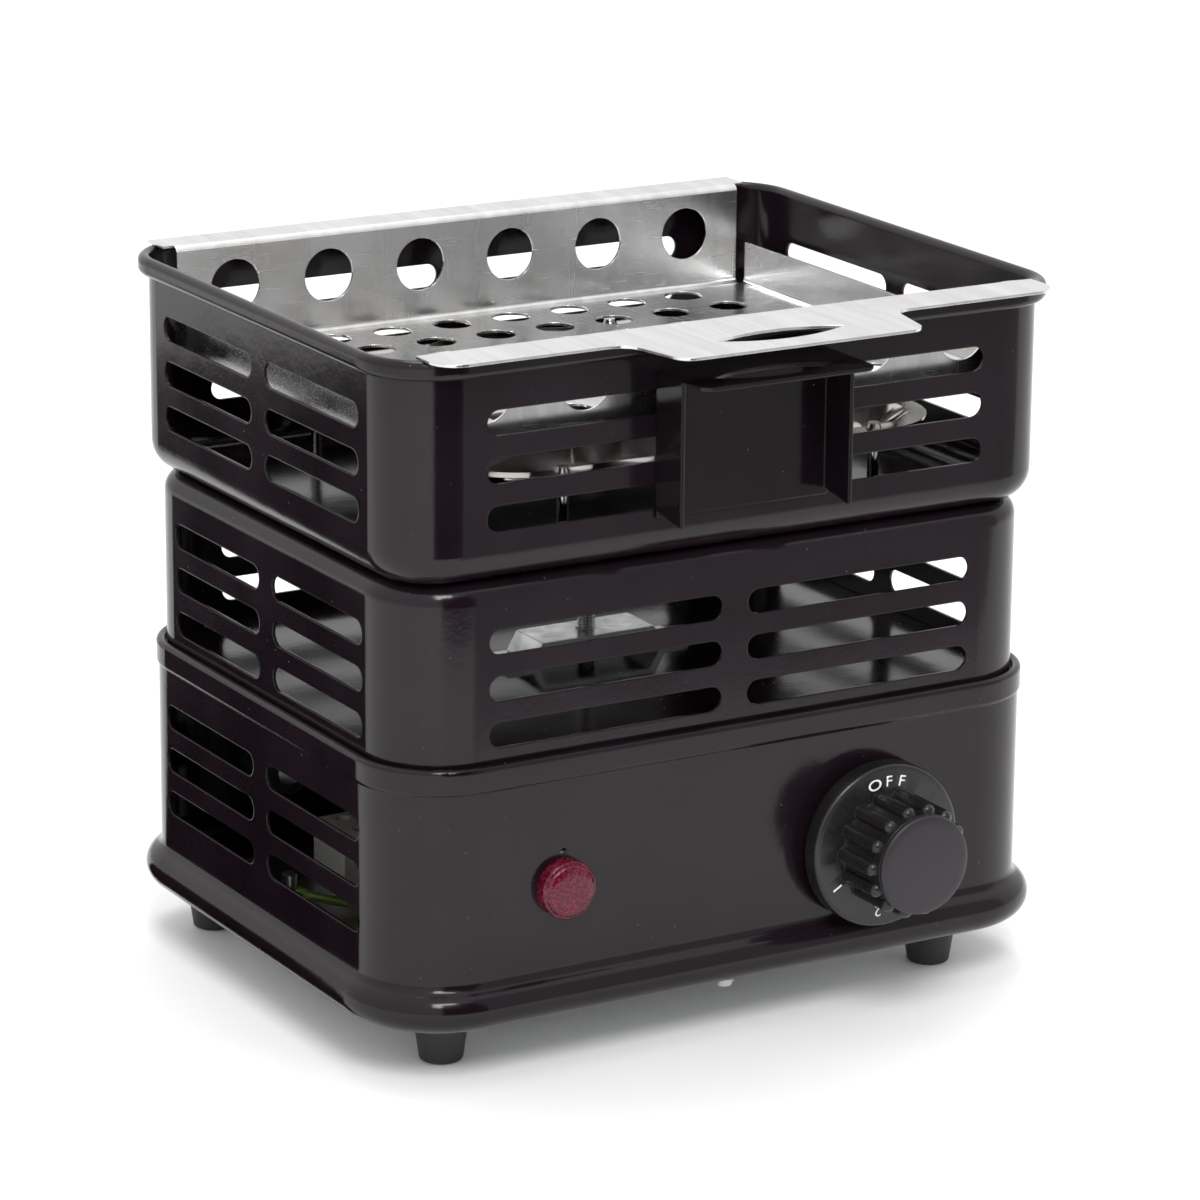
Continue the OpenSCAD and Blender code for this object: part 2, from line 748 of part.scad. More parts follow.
module terminal_block() {
    color([0.86, 0.84, 0.78]) seat() translate([block_x, block_y, base_z]) difference() {
        translate([-block_l / 2, -block_w / 2, 0]) cube([block_l, block_w, block_h]);
        for (k = [-1 : 1]) {
            translate([k * block_pitch, 0, block_h * 0.5]) rotate([90, 0, 0])
                cylinder(d = wire_d + 2 * gap, h = block_w + 2, center = true, $fn = 32);
            for (y = [-1, 1]) {
                translate([k * block_pitch, y * block_w * 0.28, block_h * 0.5 + 2]) cylinder(d = 4, h = block_h, $fn = 32);
            }
        }
        for (s = [-1, 1]) {
            translate([s * block_l * 0.36, 0, -1]) cylinder(d = 2.5, h = 5.5, $fn = 32);
        }
    }
}

module terminal_screws() {
    color([0.78, 0.62, 0.25]) seat() for (k = [-1 : 1], y = [-1, 1]) {
        translate([block_x + k * block_pitch, block_y + y * block_w * 0.28, base_z + block_h * 0.5 + 2])
            difference() {
                cylinder(d = 4, h = block_h * 0.5 - 3.5, $fn = 32);
                translate([0, 0, block_h * 0.5 - 3.5]) cube([5, 0.8, 1.6], center = true);
            }
    }
}

module block_screws() {
    color([0.75, 0.75, 0.77]) seat() for (s = [-1, 1]) {
        translate([block_x + s * block_l * 0.36, block_y, foot_h]) rotate([180, 0, 0]) pan_screw(2.5, 5, 4.8, 1.8);
    }
}

module earth_stud() {
    color([0.75, 0.75, 0.77]) seat() translate([stud_x, stud_y, foot_h]) union() {
        rotate([180, 0, 0]) pan_screw(4, plate_t + 8, 7, 2.2);
        translate([0, 0, plate_t]) cylinder(d = 7 / cos(30), h = stud_nut_h, $fn = 6);
    }
}

// ---------------------------------------------------------------- wiring

// Hand-picked routes, in the frame of the housings
block_wire_z = base_z + block_h * 0.5;
block_front_y = block_y - block_w / 2 + 3;
tab_back = regulator_back + blade_l + 1;
crimp_mid = crimp_z + crimp_h / 2;
stud_top = base_z + stud_nut_h;
neutral_route = [
    [block_x - block_pitch, block_front_y, block_wire_z],
    [block_x - block_pitch, block_front_y - 6, block_wire_z],
    [block_x - block_pitch + 2, block_front_y - 10, block_wire_z + 3],
    [-38, 20, 34], [-27, 30, 48], [leg_x[0], leg_y, 64], [leg_x[0], leg_y, deck_z],
    [leg_x[0], leg_y, burner_z - 12], [leg_x[0], leg_y, crimp_mid]
];
heater_route = [
    [knob_x - blade_x, tab_back, knob_z + blade_z], [knob_x - blade_x - 3, tab_back + 10, 59],
    [14, -8, 57], [0, 22, 55], [leg_x[1], leg_y, 66], [leg_x[1], leg_y, deck_z],
    [leg_x[1], leg_y, burner_z - 12], [leg_x[1], leg_y, crimp_mid]
];
live_route = [
    [block_x, block_front_y, block_wire_z], [block_x, block_front_y - 6, block_wire_z], [block_x, 18, 24],
    [-24, 4, 25], [4, -14, 25],
    [22, -22, 28], [knob_x - blade_x, tab_back + 8, 33], [knob_x - blade_x, tab_back, knob_z - blade_z]
];
earth_route = [
    [block_x + block_pitch, block_front_y, block_wire_z],
    [block_x + block_pitch, block_front_y - 6, block_wire_z], [block_x + block_pitch - 1, 19, 18],
    [block_x, 12, 16.5], [block_x - 19, 14, 16.5], [stud_x + 3, stud_y - 9, 18],
    [stud_x + 1, stud_y - 3.6, stud_top + 0.9]
];
function lamp_route(s) = [
    [lamp_x, front_y + lamp_l + 0.2, lamp_z + 2 * s], [lamp_x, front_y + lamp_l + 3, lamp_z + 2 * s],
    [lamp_x + 8, -47, lamp_z + 2 + 2 * s],
    [-20, -40, lamp_z + 4 + 3 * s], [14, -36, lamp_z + 4 * s], [knob_x, tab_back + 9, knob_z + 7 * s],
    [knob_x + blade_x, tab_back + 6, knob_z + 11 * s], [knob_x + blade_x, tab_back, knob_z + blade_z * s]
];

// A push-on connector over a blade of the regulator
module blade_sleeve(x, z) {
    translate([knob_x + x * blade_x, regulator_back + 1, knob_z + z * blade_z]) difference() {
        translate([-blade_w / 2 - 0.6, 0, -1.3]) cube([blade_w + 1.2, blade_l + 1.5, 2.6]);
        translate([-blade_w / 2, -1, -blade_t / 2]) cube([blade_w, blade_l, blade_t]);
    }
}

module earth_wire() {
    color([0.35, 0.6, 0.15]) seat() union() {
        tube(curve(earth_route, 4), wire_d - 0.4);
        translate([stud_x, stud_y, stud_top]) washer(9, 4, 0.8);
    }
}

module live_wire() {
    color([0.45, 0.22, 0.1]) seat() union() {
        tube(curve(live_route, 4), wire_d);
        blade_sleeve(-1, -1);
    }
}

module neutral_wire() {
    color([0.85, 0.85, 0.82]) seat() tube(curve(neutral_route, 4), wire_d);
}

module heater_wire() {
    color([0.85, 0.85, 0.82]) seat() union() {
        tube(curve(heater_route, 4), wire_d);
        blade_sleeve(-1, 1);
    }
}

// Two thin wires run side by side from the lamp to the regulator
module lamp_wires() {
    color([0.8, 0.78, 0.74]) seat() for (s = [-1, 1]) {
        tube(curve(lamp_route(s), 4), thin_wire_d);
        blade_sleeve(1, s);
    }
}

module deck_bushes() {
    color([0.55, 0.12, 0.08]) seat() for (x = leg_x) {
        translate([x, leg_y, deck_z]) flanged_sleeve(bush_hole - running, 4, bush_flange, 1.6, wire_d + 2 * gap);
    }
}

module floor_bushes() {
    color([0.9, 0.88, 0.82]) seat() for (x = leg_x) {
        translate([x, leg_y, burner_z + sheet])
            flanged_sleeve(bush_hole - running, 2 * sheet + 4, bush_flange, 1.6, wire_d + 2 * gap);
    }
}

module wire_crimps() {
    color([0.75, 0.75, 0.77]) seat() for (x = leg_x) {
        translate([x, leg_y, crimp_z]) difference() {
            cylinder(d = 5, h = crimp_h, $fn = 32);
            translate([0, 0, -1]) cylinder(d = wire_d + running, h = crimp_h / 2 + 1, $fn = 32);
            translate([0, 0, crimp_h / 2]) cylinder(d = cold_pin_d + running, h = crimp_h, $fn = 32);
        }
    }
}

// ---------------------------------------------------------------- middle housing and tie bolt

module middle_housing() {
    b = middle_bend;
    color([0.07, 0.065, 0.07]) seat() translate([0, 0, deck_z]) difference() {
        union() {
            around(body_w, body_d, body_r) {
                translate([-sheet, 0]) square([sheet, middle_h - b]);
                translate([-b, middle_h - b]) mirror([0, 1]) quarter_ring(b, b - sheet);
            }
            translate([0, 0, middle_h - sheet]) linear_extrude(sheet)
                rounded_rect(body_w - 2 * b, body_d - 2 * b, body_r - b);
        }
        front_slots(body_w, body_d, middle_row);
        side_slots(body_w, body_d, middle_row);
        translate([0, 0, middle_h]) cylinder(d = bolt_d + 2 * loose, h = 6, center = true);
        for (x = leg_x) {
            translate([x, leg_y, middle_h]) cylinder(d = bush_hole, h = 6, center = true);
        }
    }
}

// A pressed bar that bridges the tie bolt and stands on the deck with its two stepped ends
module clamp_bar() {
    t = 1.5;
    raised = bar_l * 0.31;
    step = 3;
    color([0.8, 0.8, 0.82]) seat() translate([0, bar_w / 2, deck_z]) difference() {
        rotate([90, 0, 0]) linear_extrude(bar_w) polygon([
            [-bar_l / 2, 0], [-raised - step + t, 0], [-raised + t, bar_h - t],
            [raised - t, bar_h - t], [raised + step - t, 0], [bar_l / 2, 0],
            [bar_l / 2, t], [raised + step, t], [raised, bar_h],
            [-raised, bar_h], [-raised - step, t], [-bar_l / 2, t]
        ]);
        translate([0, -bar_w / 2, -1]) cylinder(d = bolt_d + 2 * loose, h = bar_h + 2);
    }
}

bolt_head_h = 3.5;
tie_washer_t = 1;
tie_nut_h = 4;
bolt_top = burner_z + sheet + tie_washer_t;
bolt_end = deck_z - sheet - tie_washer_t - tie_nut_h - 3;

module tie_bolt() {
    color([0.8, 0.8, 0.82]) seat() union() {
        translate([0, 0, bolt_end]) cylinder(d = bolt_d, h = bolt_top - bolt_end + eps, $fn = 48);
        translate([0, 0, bolt_top]) cylinder(d = 1.6 * bolt_d / cos(30), h = bolt_head_h, $fn = 6);
    }
}

module tie_washers() {
    color([0.75, 0.75, 0.77]) seat() for (z = [burner_z + sheet, deck_z - sheet - tie_washer_t]) {
        translate([0, 0, z]) washer(bolt_d * 2.4, bolt_d + running, tie_washer_t);
    }
}

module tie_nut() {
    color([0.75, 0.75, 0.77]) seat() translate([0, 0, deck_z - sheet - tie_washer_t - tie_nut_h])
        hex_nut(1.6 * bolt_d, tie_nut_h, bolt_d);
}

// ---------------------------------------------------------------- burner housing

// The wall bends in at the floor and rolls out into a hollow oval rim at the top
module burner_wall_profile() {
    b = burner_bend;
    roll_x = rim_r - sheet;
    roll_top = burner_h - rim_r;
    translate([-sheet, b]) square([sheet, roll_top - b]);
    translate([-b, b]) quarter_ring(b, b - sheet);
    difference() {
        roll_section(rim_r, roll_x, roll_top);
        roll_section(rim_r - sheet, roll_x, roll_top);
        translate([-sheet - 1, roll_top - rim_rise - rim_r - 1]) square([rim_r + 1, rim_r + 1]);
    }
}

module roll_section(r, x, top) {
    translate([x - r, top - rim_rise]) square([2 * r, rim_rise]);
    translate([x, top]) circle(r);
    translate([x, top - rim_rise]) circle(r);
}

module burner_housing() {
    b = burner_bend;
    color([0.07, 0.065, 0.07]) seat() translate([0, 0, burner_z]) difference() {
        union() {
            around(burner_w, burner_d, burner_r) burner_wall_profile();
            linear_extrude(sheet) rounded_rect(burner_w - 2 * b, burner_d - 2 * b, burner_r - b);
        }
        front_slots(burner_w, burner_d, burner_row);
        side_slots(burner_w, burner_d, burner_row);
        cylinder(d = bolt_d + 2 * loose, h = 6, center = true);
        for (x = leg_x) {
            translate([x, leg_y, 0]) cylinder(d = bush_hole, h = 6, center = true);
        }
    }
}

module handle_bracket() {
    half = bracket_w / 2;
    wall_y = -burner_d / 2;
    lip_t = bracket_t;
    color([0.06, 0.055, 0.06]) seat() translate([0, wall_y, bracket_z]) difference() {
        union() {
            translate([-half, -bracket_t, 0]) cube([bracket_w, bracket_t, bracket_h]);
            for (s = [0, 1]) {
                mirror([s, 0, 0]) translate([half - bracket_t, 0, 0]) rotate([90, 0, 90])
                    linear_extrude(bracket_t)
                        polygon([[0, 2], [-bracket_depth, 0], [-bracket_depth, bracket_h], [0, bracket_h]]);
            }
            translate([-half, -bracket_lip, bracket_h - lip_t]) cube([bracket_w, bracket_lip, lip_t]);
        }
        translate([0, -bracket_lip * 0.62, bracket_h - lip_t - 1]) linear_extrude(lip_t + 2)
            lens(lens_slot_l - 2, lens_slot_w);
        for (s = [-1, 1]) {
            translate([s * half, -bracket_lip, bracket_h]) rotate([0, 0, 45]) cube([3, 3, 8], center = true);
        }
    }
}

// ---------------------------------------------------------------- reflector and heating element

// A shallow dish with a flat rim, on four pins at its rim
module reflector_pan() {
    t = pan_t;
    color([0.82, 0.82, 0.84]) seat() translate([0, 0, pan_z]) difference() {
        union() {
            around(pan_w, pan_d, pan_corner) polygon([
                [-pan_slope, 0], [-pan_slope, t], [0, pan_h], [pan_lip, pan_h],
                [pan_lip, pan_h - t], [t, pan_h - t], [t - pan_slope, 0]
            ]);
            linear_extrude(t)
                rounded_rect(pan_w - 2 * pan_slope, pan_d - 2 * pan_slope, pan_corner - pan_slope);
        }
        for (x = leg_x) {
            translate([x, leg_y, -1]) cylinder(d = leg_hole, h = 4);
        }
        for (x = [-1, 1], y = [-1, 1]) {
            translate([x * pin_x, y * pin_y, pan_h - 2]) cylinder(d = pin_tenon, h = 4, $fn = 32);
        }
    }
}

module pan_pins() {
    color([0.82, 0.82, 0.84]) seat() for (x = [-1, 1], y = [-1, 1]) {
        translate([x * pin_x, y * pin_y, burner_z + sheet]) union() {
            cylinder(d = pin_d, h = pin_h - pan_t, $fn = 32);
            cylinder(d = pin_tenon, h = pin_h + 0.5, $fn = 32);
            translate([0, 0, pin_h]) cylinder(d1 = 4.2, d2 = 3, h = 1.4, $fn = 32);
        }
    }
}

// Ceramic sleeves that hang under the pan and carry the element's legs through it
module element_insulators() {
    color([0.93, 0.91, 0.86]) seat() for (x = leg_x) {
        translate([x, leg_y, pan_z]) rotate([180, 0, 0])
            flanged_sleeve(leg_hole - running, pan_t + 0.4, leg_hole + 3, 1.2, coil_tube + running);
    }
}

// The spiral runs out from its inner end and stops a bend short of the outer leg
steps_per_turn = 24;
coil_end = 360 * (coil_turns - 1) + atan2(leg_y, leg_x[0]) + 360 - asin(leg_bend / coil_outer);
coil_steps = round(steps_per_turn * (coil_end - 180) / 360);
function spiral(k) =
    let (a = 180 + (coil_end - 180) * k / coil_steps,
        r = coil_inner + (a - 180) * (coil_outer - coil_inner) / (coil_end - 180))
    [r * cos(a), r * sin(a), coil_z];

// The inner leg runs under the turns and rises into the middle of the spiral
inner_leg = [
    [leg_x[1], leg_y, leg_low], [leg_x[1], leg_y, pan_z + pan_t],
    [leg_x[1], leg_y - 1.2, under_z - 1.2], [leg_x[1], leg_y - 5, under_z],
    [leg_x[1] - 1, leg_y * 0.7, under_z], [-coil_inner * 0.75, leg_y * 0.45, under_z + 0.3],
    [-coil_inner * 0.97, leg_y * 0.2, coil_z - 1]
];
outer_end = spiral(coil_steps);
outer_turn = [leg_x[0], leg_y, 0] - [outer_end[0], outer_end[1], 0];
outer_leg = concat(
    [for (a = [30, 60, 90]) outer_end + sin(a) * outer_turn - [0, 0, (1 - cos(a)) * norm(outer_turn)]],
    [[leg_x[0], leg_y, leg_low]]
);

module heating_element() {
    path = concat(
        curve(inner_leg, 3), [for (k = [0 : coil_steps]) spiral(k)], outer_leg
    );
    color([0.3, 0.29, 0.28]) seat() union() {
        tube(path, coil_tube, 12);
        for (x = leg_x) {
            translate([x, leg_y, crimp_mid]) cylinder(d = cold_pin_d, h = leg_low + 1 - crimp_mid, $fn = 32);
        }
    }
}

// Three upright plates on a ring hold the turns above the pan
module element_trivet() {
    low = pan_z + pan_t;
    top = coil_z - coil_tube / 2;
    t = 1.2;
    ring_r = min(9, coil_inner - coil_tube / 2 - 1);
    color([0.75, 0.75, 0.77]) seat() translate([0, 0, low]) difference() {
        union() {
            cylinder(r = ring_r, h = top - low);
            for (a = [-150, -30, 75]) {
                rotate([0, 0, a]) translate([ring_r - 1, -t / 2, 0])
                    cube([coil_outer + 2 - ring_r, t, top - low]);
            }
        }
        translate([0, 0, -1]) cylinder(r = ring_r - t, h = 20);
    }
}

// ---------------------------------------------------------------- coal tray

// The front and back walls with their flanges, as one folded strip seen from the side
module tray_fold() {
    t = tray_t;
    b = tray_bend;
    h = rim_z - tray_z;
    translate([tray_front + b, 0]) square([tray_back - tray_front - 2 * b, t]);
    translate([tray_back - b, b]) quarter_ring(b, b - t);
    translate([tray_front + b, b]) mirror([1, 0]) quarter_ring(b, b - t);
    translate([tray_back - t, b]) square([t, h - b - t]);
    translate([tray_front, b]) square([t, h - b - t]);
    translate([tray_back + b - t, h - b + t]) mirror([0, 1]) mirror([1, 0]) quarter_ring(b, b - t);
    translate([tray_front - b + t, h - b + t]) mirror([0, 1]) quarter_ring(b, b - t);
}

function arc(centre, r, from, to) = [
    for (k = [0 : 6]) centre + r * [cos(from + (to - from) * k / 6), sin(from + (to - from) * k / 6)]
];

// The flange lies on the rim and carries the handle tab, with its lens-shaped slot
module front_flange() {
    reach = tray_front - tray_bend + tray_t - flange_front;
    corner = 7;
    difference() {
        union() {
            translate([-flange_w / 2 + corner, flange_front]) square([flange_w - 2 * corner, reach]);
            translate([-flange_w / 2, flange_front + corner]) square([flange_w, reach - corner]);
            for (s = [0, 1]) {
                mirror([s, 0]) {
                    translate([flange_w / 2 - corner, flange_front + corner]) circle(corner);
                    polygon(concat(
                        [[0, tab_front]], arc([tab_tip, tab_front + tip_r], tip_r, -90, -10),
                        arc([tab_root + shoulder_r, flange_front - shoulder_r], shoulder_r, 170, 90),
                        [[tab_root + shoulder_r, flange_front + 1], [0, flange_front + 1]]
                    ));
                }
            }
        }
        translate([0, flange_front - tab_l * 0.4]) lens(lens_slot_l, lens_slot_w);
    }
}

floor_rows = floor((tray_back - tray_front - 2 * tray_margin) / tray_row_pitch) + 1;
floor_cols = floor((tray_w - 2 * tray_margin - tray_floor_hole) / tray_floor_pitch);
tray_wall_holes = floor((tray_w - 2 * tray_wall_margin) / tray_wall_pitch);

module coal_tray() {
    h = rim_z - tray_z;
    side_l = tray_back - tray_front - 2 * tray_bend - 2;
    color([0.8, 0.8, 0.81]) seat() translate([0, 0, tray_z]) difference() {
        union() {
            rotate([90, 0, 90]) linear_extrude(tray_w - 2 * tray_bend, center = true) tray_fold();
            for (s = [0, 1]) {
                mirror([s, 0, 0]) {
                    translate([tray_w / 2 - tray_bend, tray_back - tray_bend - 1, tray_bend])
                        rotate([90, 0, 0]) linear_extrude(side_l) quarter_ring(tray_bend, tray_bend - tray_t);
                    translate([tray_w / 2 - tray_t, tray_front + tray_bend + 1, tray_bend])
                        cube([tray_t, side_l, tray_side_h - tray_bend]);
                }
            }
            translate([0, 0, h]) linear_extrude(tray_t) front_flange();
            translate([-flange_w / 2, tray_back + tray_bend - tray_t, h])
                cube([flange_w, flange_back - tray_back - tray_bend + tray_t, tray_t]);
        }
        for (k = [0 : tray_wall_holes - 1]) {
            translate([(k - (tray_wall_holes - 1) / 2) * tray_wall_pitch, 0, h * 0.58]) rotate([90, 0, 0])
                cylinder(d = tray_wall_hole, h = 2 * burner_d, center = true, $fn = 48);
        }
        for (i = [0 : floor_rows - 1], j = [0 : floor_cols - 1]) {
            x = (j - (floor_cols - 1) / 2) * tray_floor_pitch + (i % 2) * tray_row_shift;
            translate([x, tray_back - tray_margin - i * tray_row_pitch, -1])
                cylinder(d = tray_floor_hole, h = 3, $fn = 32);
        }
    }
}

base_housing();
base_plate();
plate_screws();
foot_front_left();
foot_front_right();
foot_rear_left();
foot_rear_right();
foot_screws();
foot_nuts();
regulator_body();
regulator_terminals();
regulator_nut();
regulator_screws();
regulator_shaft();
control_knob();
knob_cap();
lamp_lens();
lamp_body();
lamp_clip();
cord_gland();
gland_nut();
terminal_block();
terminal_screws();
block_screws();
earth_stud();
earth_wire();
live_wire();
neutral_wire();
heater_wire();
lamp_wires();
deck_bushes();
middle_housing();
clamp_bar();
tie_bolt();
tie_washers();
tie_nut();
burner_housing();
handle_bracket();
floor_bushes();
wire_crimps();
reflector_pan();
pan_pins();
element_insulators();
heating_element();
element_trivet();
coal_tray();
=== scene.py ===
"""The finish of a stacked electric charcoal burner: black enamel housings, a bright lift-out coal tray, a ribbed
knob, a pilot lamp, feet, a wound heating element and the wiring, with a pale studio round them."""

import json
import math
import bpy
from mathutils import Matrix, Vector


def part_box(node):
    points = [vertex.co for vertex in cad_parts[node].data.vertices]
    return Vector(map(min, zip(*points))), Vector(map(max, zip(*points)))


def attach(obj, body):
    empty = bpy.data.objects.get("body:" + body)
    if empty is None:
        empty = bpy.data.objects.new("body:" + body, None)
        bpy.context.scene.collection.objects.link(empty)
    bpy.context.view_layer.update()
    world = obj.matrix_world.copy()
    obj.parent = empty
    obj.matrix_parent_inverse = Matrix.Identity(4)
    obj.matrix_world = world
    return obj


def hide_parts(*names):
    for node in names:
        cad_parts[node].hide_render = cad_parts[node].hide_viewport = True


bl_info = {
    "name": "Charcoal Burner Finish",
    "version": (1, 0, 0),
    "blender": (4, 5, 0),
    "location": "3D View > Sidebar > Burner",
    "description": "Models and finishes the pieces of an electric charcoal burner",
    "category": "Object",
}

import bpy
from bpy.props import FloatProperty, FloatVectorProperty, IntProperty, PointerProperty
from mathutils import Matrix, Vector

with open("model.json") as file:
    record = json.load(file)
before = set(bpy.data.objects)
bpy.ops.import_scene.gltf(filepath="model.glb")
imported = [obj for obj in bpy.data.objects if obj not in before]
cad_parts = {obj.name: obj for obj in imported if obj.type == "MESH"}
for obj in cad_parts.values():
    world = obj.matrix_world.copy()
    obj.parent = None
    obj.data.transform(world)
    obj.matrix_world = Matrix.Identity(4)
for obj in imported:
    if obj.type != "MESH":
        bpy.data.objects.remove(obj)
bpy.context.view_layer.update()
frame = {"nodes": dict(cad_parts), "record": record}
SLOT_OF = {part["node"]: part["material_slot"] for part in frame["record"]["subparts"]}
MM = 0.001

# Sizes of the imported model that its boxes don't tell. SEAT_Y is in millimetres, from the middle of the housings to
# the middle of the whole outline, and the others are in metres.
SEAT_Y = 12
GRIP_LENGTH = 16 * MM
DIAL_WALL = 2.4 * MM
DIAL_SKIRT = 0.5 * MM
BOSS_R = 5.5 * MM
BOSS_SET_BACK = 1.6 * MM
RIB_SET_BACK = 1.1 * MM
LENS_WALL = 1.6 * MM
FOOT_BORE_R = 2 * MM
FOOT_RECESS_R = 3.7 * MM
FOOT_RECESS = 6 * MM
BOLT_HEAD = 3.5 * MM
BOLT_R = 2.5 * MM
FLOOR_R = 8


def middle(node):
    low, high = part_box(node)
    return (low + high) / 2


def span(node):
    low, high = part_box(node)
    return high - low


# ------------------------------------------------------------------------------------------------ settings


def colour(label, value, note):
    return FloatVectorProperty(name=label, description=note, subtype="COLOR", size=3, min=0, max=1, default=value)


def length(label, value, note):
    return FloatProperty(name=label, description=note, subtype="DISTANCE", unit="LENGTH", default=value, min=0)


class BurnerFinish(bpy.types.PropertyGroup):
    """Colours and roughness that a user would change"""

    enamel: colour("Enamel", (0.0055, 0.003, 0.0046), "Colour of the stove enamel on the housings")
    enamel_roughness: FloatProperty(name="Enamel roughness", description="Lower is glossier", default=0.14,
                                    min=0, max=1)
    steel: colour("Tray steel", (0.8, 0.8, 0.8), "Colour of the stainless coal tray")
    knob: colour("Knob", (0.008, 0.007, 0.0075), "Colour of the dial and its grip")
    cap: colour("Knob cap", (0.012, 0.009, 0.012), "Colour of the satin disc on the knob")
    print_white: colour("Print", (0.8, 0.8, 0.8), "Colour of the marks on the dial")
    lens: colour("Pilot lens", (0.085, 0.001, 0.012), "Colour of the pilot lamp's lens")
    rubber: colour("Feet", (0.012, 0.012, 0.012), "Colour of the rubber feet")
    edge: length("Edge radius", 0.00035, "Radius that highlights show along sheet edges")


class BurnerSizes(bpy.types.PropertyGroup):
    """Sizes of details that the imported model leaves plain"""

    dial_round: length("Dial edge", 1.3 * MM, "Radius round the rim of the dial")
    cap_dome: length("Cap dome", 0.5 * MM, "How far the cap bulges at its middle")
    rib_count: IntProperty(name="Grip ribs", description="Ribs round the grip", default=14, min=6, max=24)
    rib_diameter: length("Rib", 4 * MM, "Diameter of a rib of the grip")
    mark_height: length("Marks", 2.9 * MM, "Height of the marks on the dial")
    thread_pitch: length("Thread pitch", 0.8 * MM, "Distance between two threads of the tie bolt")
    thread_depth: length("Thread depth", 0.42 * MM, "Depth of the tie bolt's thread")
    pebble: length("Lens pebble", 0.85 * MM, "Size of one pebble in the lamp's lens")
    foot_round: length("Foot edge", 0.8 * MM, "Radius round the foot's bottom")


class StudioSettings(bpy.types.PropertyGroup):
    """Camera and light"""

    azimuth: FloatProperty(name="Azimuth", description="Turn of the camera round the burner, in degrees",
                           default=-30.432)
    elevation: FloatProperty(name="Elevation", description="Height of the camera, in degrees", default=16.228)
    roll: FloatProperty(name="Roll", description="Tilt of the camera, in degrees", default=0.474)
    distance: length("Distance", 1.31168, "From the camera to the point that it looks at")
    lens: FloatProperty(name="Focal length", description="In millimetres, on a 36 mm sensor", default=150.87)
    floor_grey: FloatProperty(name="Floor", description="Brightness of the floor", default=0.88, min=0, max=1)
    world: FloatProperty(name="Surround", description="Strength of the white surround", default=1.0, min=0)


# ------------------------------------------------------------------------------------------------ shader maths


class Value:
    """A number socket that maths can be written with"""

    def __init__(self, tree, socket):
        self.tree, self.socket = tree, socket

    def maths(self, operation, first, second=None, clamp=False):
        made = self.tree.nodes.new("ShaderNodeMath")
        made.operation, made.use_clamp = operation, clamp
        for socket, value in zip(made.inputs, (first, second)):
            if isinstance(value, Value):
                self.tree.links.new(value.socket, socket)
            elif value is not None:
                socket.default_value = value
        return Value(self.tree, made.outputs[0])

    def __add__(self, other):
        return self.maths("ADD", self, other)

    __radd__ = __add__

    def __mul__(self, other):
        return self.maths("MULTIPLY", self, other)

    __rmul__ = __mul__

    def __sub__(self, other):
        return self.maths("SUBTRACT", self, other)

    def __rsub__(self, other):
        return self.maths("SUBTRACT", other, self)

    def __truediv__(self, other):
        return self.maths("DIVIDE", self, other)

    def below(self, other):
        return self.maths("LESS_THAN", self, other)

    def clamped(self):
        return self.maths("ADD", self, 0.0, clamp=True)

    def step(self, low, high):
        """0 below low, 1 above high and a straight ramp between them"""
        return ((self - low) / (high - low)).clamped()


